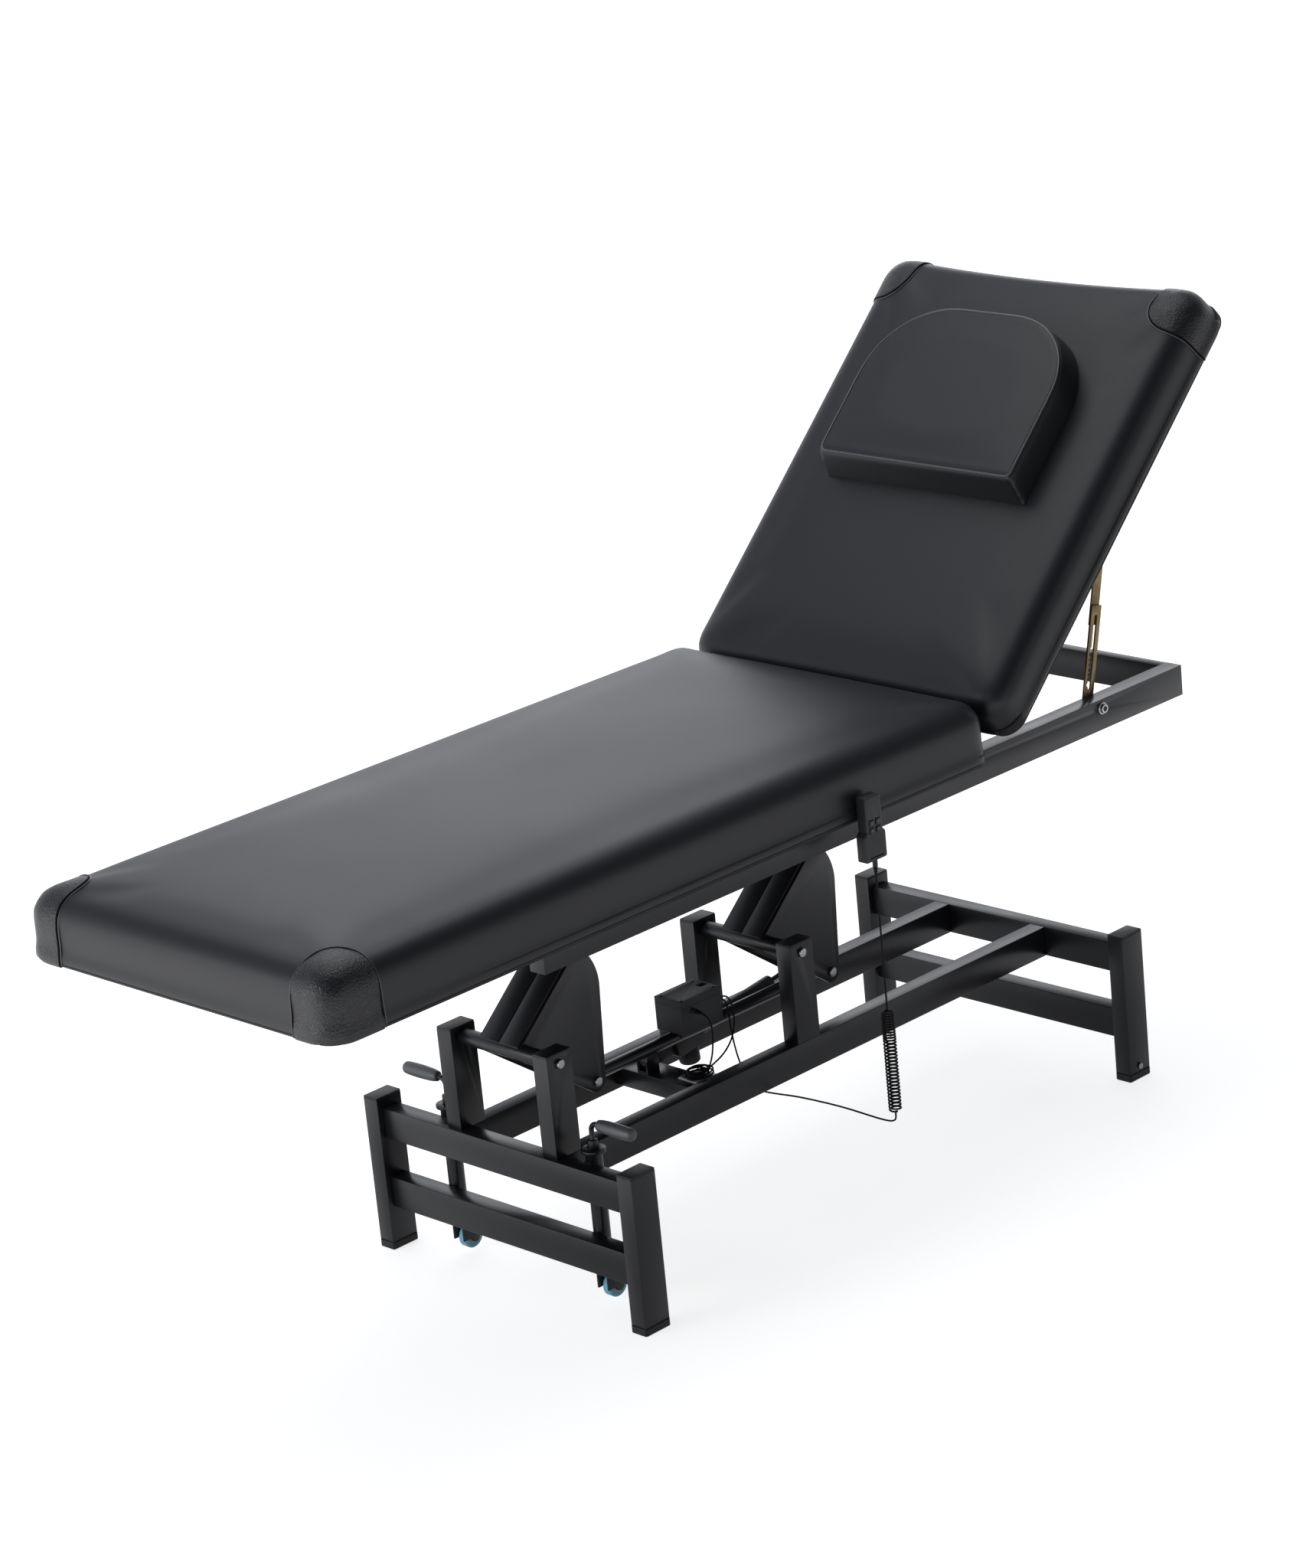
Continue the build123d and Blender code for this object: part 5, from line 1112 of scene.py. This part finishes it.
def readLine(name, points):
    # the smooth line through a route's points, read back as points
    guide = cordCurve(name, points, 0.0)
    guide.data.bevel_depth = 0
    bpy.context.view_layer.update()
    mesh = bpy.data.meshes.new_from_object(guide)
    line = [v.co.copy() for v in mesh.vertices]
    bpy.data.objects.remove(guide)
    return line


def lineLength(line):
    return sum((b - a).length for a, b in zip(line, line[1:]))


handCord = {
    "x": tableX(0.506), "y": -0.3465, "top": 0.583, "curlTop": 0.358, "curlBottom": 0.182,
    "diameter": 0.0030, "curlRadius": 0.0092, "turns": 32, "perTurn": 12,
    # the upper turns lie closer together: their share of the height and of the turns
    "tightHeight": 0.30, "tightTurns": 0.36, "ease": 1.5,
    # gaps between the straight parts and the first and last turn, and the sleeve's start above the cord's
    "leadIn": 0.004, "firstTurn": 0.006, "lastTurn": 0.005, "leastGrow": 0.02, "sleeveUp": 0.0005,
}
thinCord = 0.0028
cordX, cordY = handCord["x"], handCord["y"]
route = [
    (cordX, cordY, handCord["top"]), (cordX, cordY, 0.545), (cordX, cordY, 0.475), (cordX, cordY, 0.395),
    (cordX, cordY, handCord["curlTop"]), (cordX, cordY, handCord["curlBottom"]),
]
guideLine = readLine("hand_cord_line", route)
curlTop, curlBottom = handCord["curlTop"] - handCord["firstTurn"], handCord["curlBottom"] + handCord["lastTurn"]
helix = [Vector(p) for p in route[:4]] + [Vector((cordX, cordY, handCord["curlTop"] + handCord["leadIn"]))]
steps = handCord["turns"] * handCord["perTurn"]
for i in range(steps + 1):
    share = i / steps
    angle = 2 * pi * i / handCord["perTurn"]
    easeTurns = handCord["turns"] * handCord["ease"]
    grow = min(1.0, share * easeTurns, (1 - share) * easeTurns + handCord["leastGrow"])
    tightHeight, tightTurns = handCord["tightHeight"], handCord["tightTurns"]
    if share < tightTurns:
        down = tightHeight * share / tightTurns
    else:
        down = tightHeight + (1 - tightHeight) * (share - tightTurns) / (1 - tightTurns)
    z = curlTop + (curlBottom - curlTop) * down
    axis = min(guideLine, key=lambda p: abs(p.z - z))
    radius = handCord["curlRadius"] * grow
    helix.append(Vector((axis.x + radius * cos(angle), axis.y + radius * sin(angle), z)))
helix.append(Vector((cordX, cordY, handCord["curlBottom"])))
handCurve = cordCurve("hand_cord", helix, handCord["diameter"])
handLength = lineLength(readLine("hand_cord_measure", helix))
addPiece(handCurve, "rubberCord", "bed_frame", "handset_cord")
sleeveTop = (cordX, cordY, handCord["top"] + handCord["sleeveUp"])
handSleeve = ribbedSleeve("hand_cord_sleeve", sleeveTop, (0, 0, -1), handRelief)
addPiece(handSleeve, "rubberCord", "bed_frame")
print("hand cord length", round(handLength, 3))

tailRoute = [
    (cordX, cordY, 0.182), (cordX, cordY, 0.176), (cordX, -0.3425, 0.1715), (cordX, -0.333, 0.1685),
    (tableX(0.505), -0.314, 0.1682), (tableX(0.504), -0.286, 0.1695), (tableX(0.501), -0.246, 0.1725),
    (tableX(0.496), -0.200, 0.1740), (tableX(0.490), -0.154, 0.1745), (tableX(0.484), -0.112, 0.1720),
    (tableX(0.480), -0.084, 0.172), (tableX(0.478), -0.064, 0.186), (tableX(0.477), -0.052, 0.208),
    (tableX(0.476), -0.044, 0.236), (tableX(0.476), -0.039, 0.266), (tableX(0.476), -0.037, 0.292),
    (tableX(0.475), -0.036, 0.308), (tableX(0.469), -0.036, 0.318), (tableX(0.459), -0.036, 0.324),
    (tableX(0.447), -0.036, 0.324),
]
tail = cordCurve("tail_cord_line", tailRoute, thinCord)
addPiece(tail, "rubberCord", "base", "tail_cord")
lineLength(readLine("tail_measure", tailRoute))

bundleCentre = Vector((tableX(0.3775), -0.062, 0.233))
secondRoute = [
    (tableX(0.447), -0.048, 0.331), (tableX(0.459), -0.048, 0.331), (tableX(0.468), -0.049, 0.323),
    (tableX(0.472), -0.051, 0.309), (tableX(0.471), -0.054, 0.292), (tableX(0.465), -0.057, 0.276),
    (tableX(0.455), -0.060, 0.262), (tableX(0.441), -0.062, 0.251), (tableX(0.425), -0.063, 0.243),
    (tableX(0.408), -0.0635, 0.238), (tableX(0.3935), -0.062, 0.233),
]
shortRoute = [
    (tableX(0.3825), -0.062, 0.3333), (tableX(0.3825), -0.076, 0.3333), (tableX(0.385), -0.088, 0.3243),
    (tableX(0.384), -0.093, 0.307), (tableX(0.382), -0.093, 0.287), (tableX(0.380), -0.091, 0.267),
    (tableX(0.378), -0.085, 0.249), (tableX(0.3775), -0.078, 0.233),
]
loopSetup = {
    "radius": 0.016, "stretch": 1.4, "shift": -0.005, "perTurn": 12,
    "low": 0.2305, "risePerTurn": 0.0019, "wander": 0.0025, "change": 0.20,
    # how fast size and centre vary with the turns, and what tells the two cables' turns apart
    "sizeWave": 2.1, "xWave": 1.7, "yWave": 2.3, "phasePerLift": 300, "shortLift": 0.0085,
}


def bundleLoops(startAngle, turns, lift):
    # loose turns that differ in size and lie on each other
    loop = []
    steps = turns * loopSetup["perTurn"]
    for i in range(1, steps + 1):
        angle = startAngle + 2 * pi * i / loopSetup["perTurn"]
        turnIndex = i / loopSetup["perTurn"]
        phase = turnIndex * loopSetup["sizeWave"] + lift * loopSetup["phasePerLift"]
        radius = loopSetup["radius"] * (1 + loopSetup["change"] * sin(phase))
        sway = Vector((sin(turnIndex * loopSetup["xWave"]), cos(turnIndex * loopSetup["yWave"]), 0))
        wander = sway * loopSetup["wander"]
        centre = bundleCentre + wander + Vector((loopSetup["shift"] * min(1.0, turnIndex), 0, 0))
        z = loopSetup["low"] + lift + loopSetup["risePerTurn"] * turnIndex
        wide = radius * (1 + (loopSetup["stretch"] - 1) * min(1.0, turnIndex))
        loop.append(centre + Vector((wide * cos(angle), radius * sin(angle), z - bundleCentre.z)))
    return loop


secondLine = [Vector(p) for p in secondRoute] + bundleLoops(0.0, 5, 0.0)
second = cordCurve("second_cable_line", secondLine, thinCord)
addPiece(second, "rubberCord", "base", "box_cables")
lineLength(readLine("second_measure", secondLine))
shortLine = [Vector(p) for p in shortRoute] + bundleLoops(-pi / 2, 2, loopSetup["shortLift"])
short = cordCurve("short_cable_line", shortLine, thinCord)
addPiece(short, "rubberCord", "base", "box_cables")
shortStart = Vector(shortRoute[0]) + Vector((0, handCord["sleeveUp"], 0))
shortSleeve = ribbedSleeve("short_cable_sleeve", shortStart, (0, -1, 0), shortRelief)
addPiece(shortSleeve, "rubberCord", "base")
lineLength(readLine("short_measure", shortLine))
print("cords are laid")
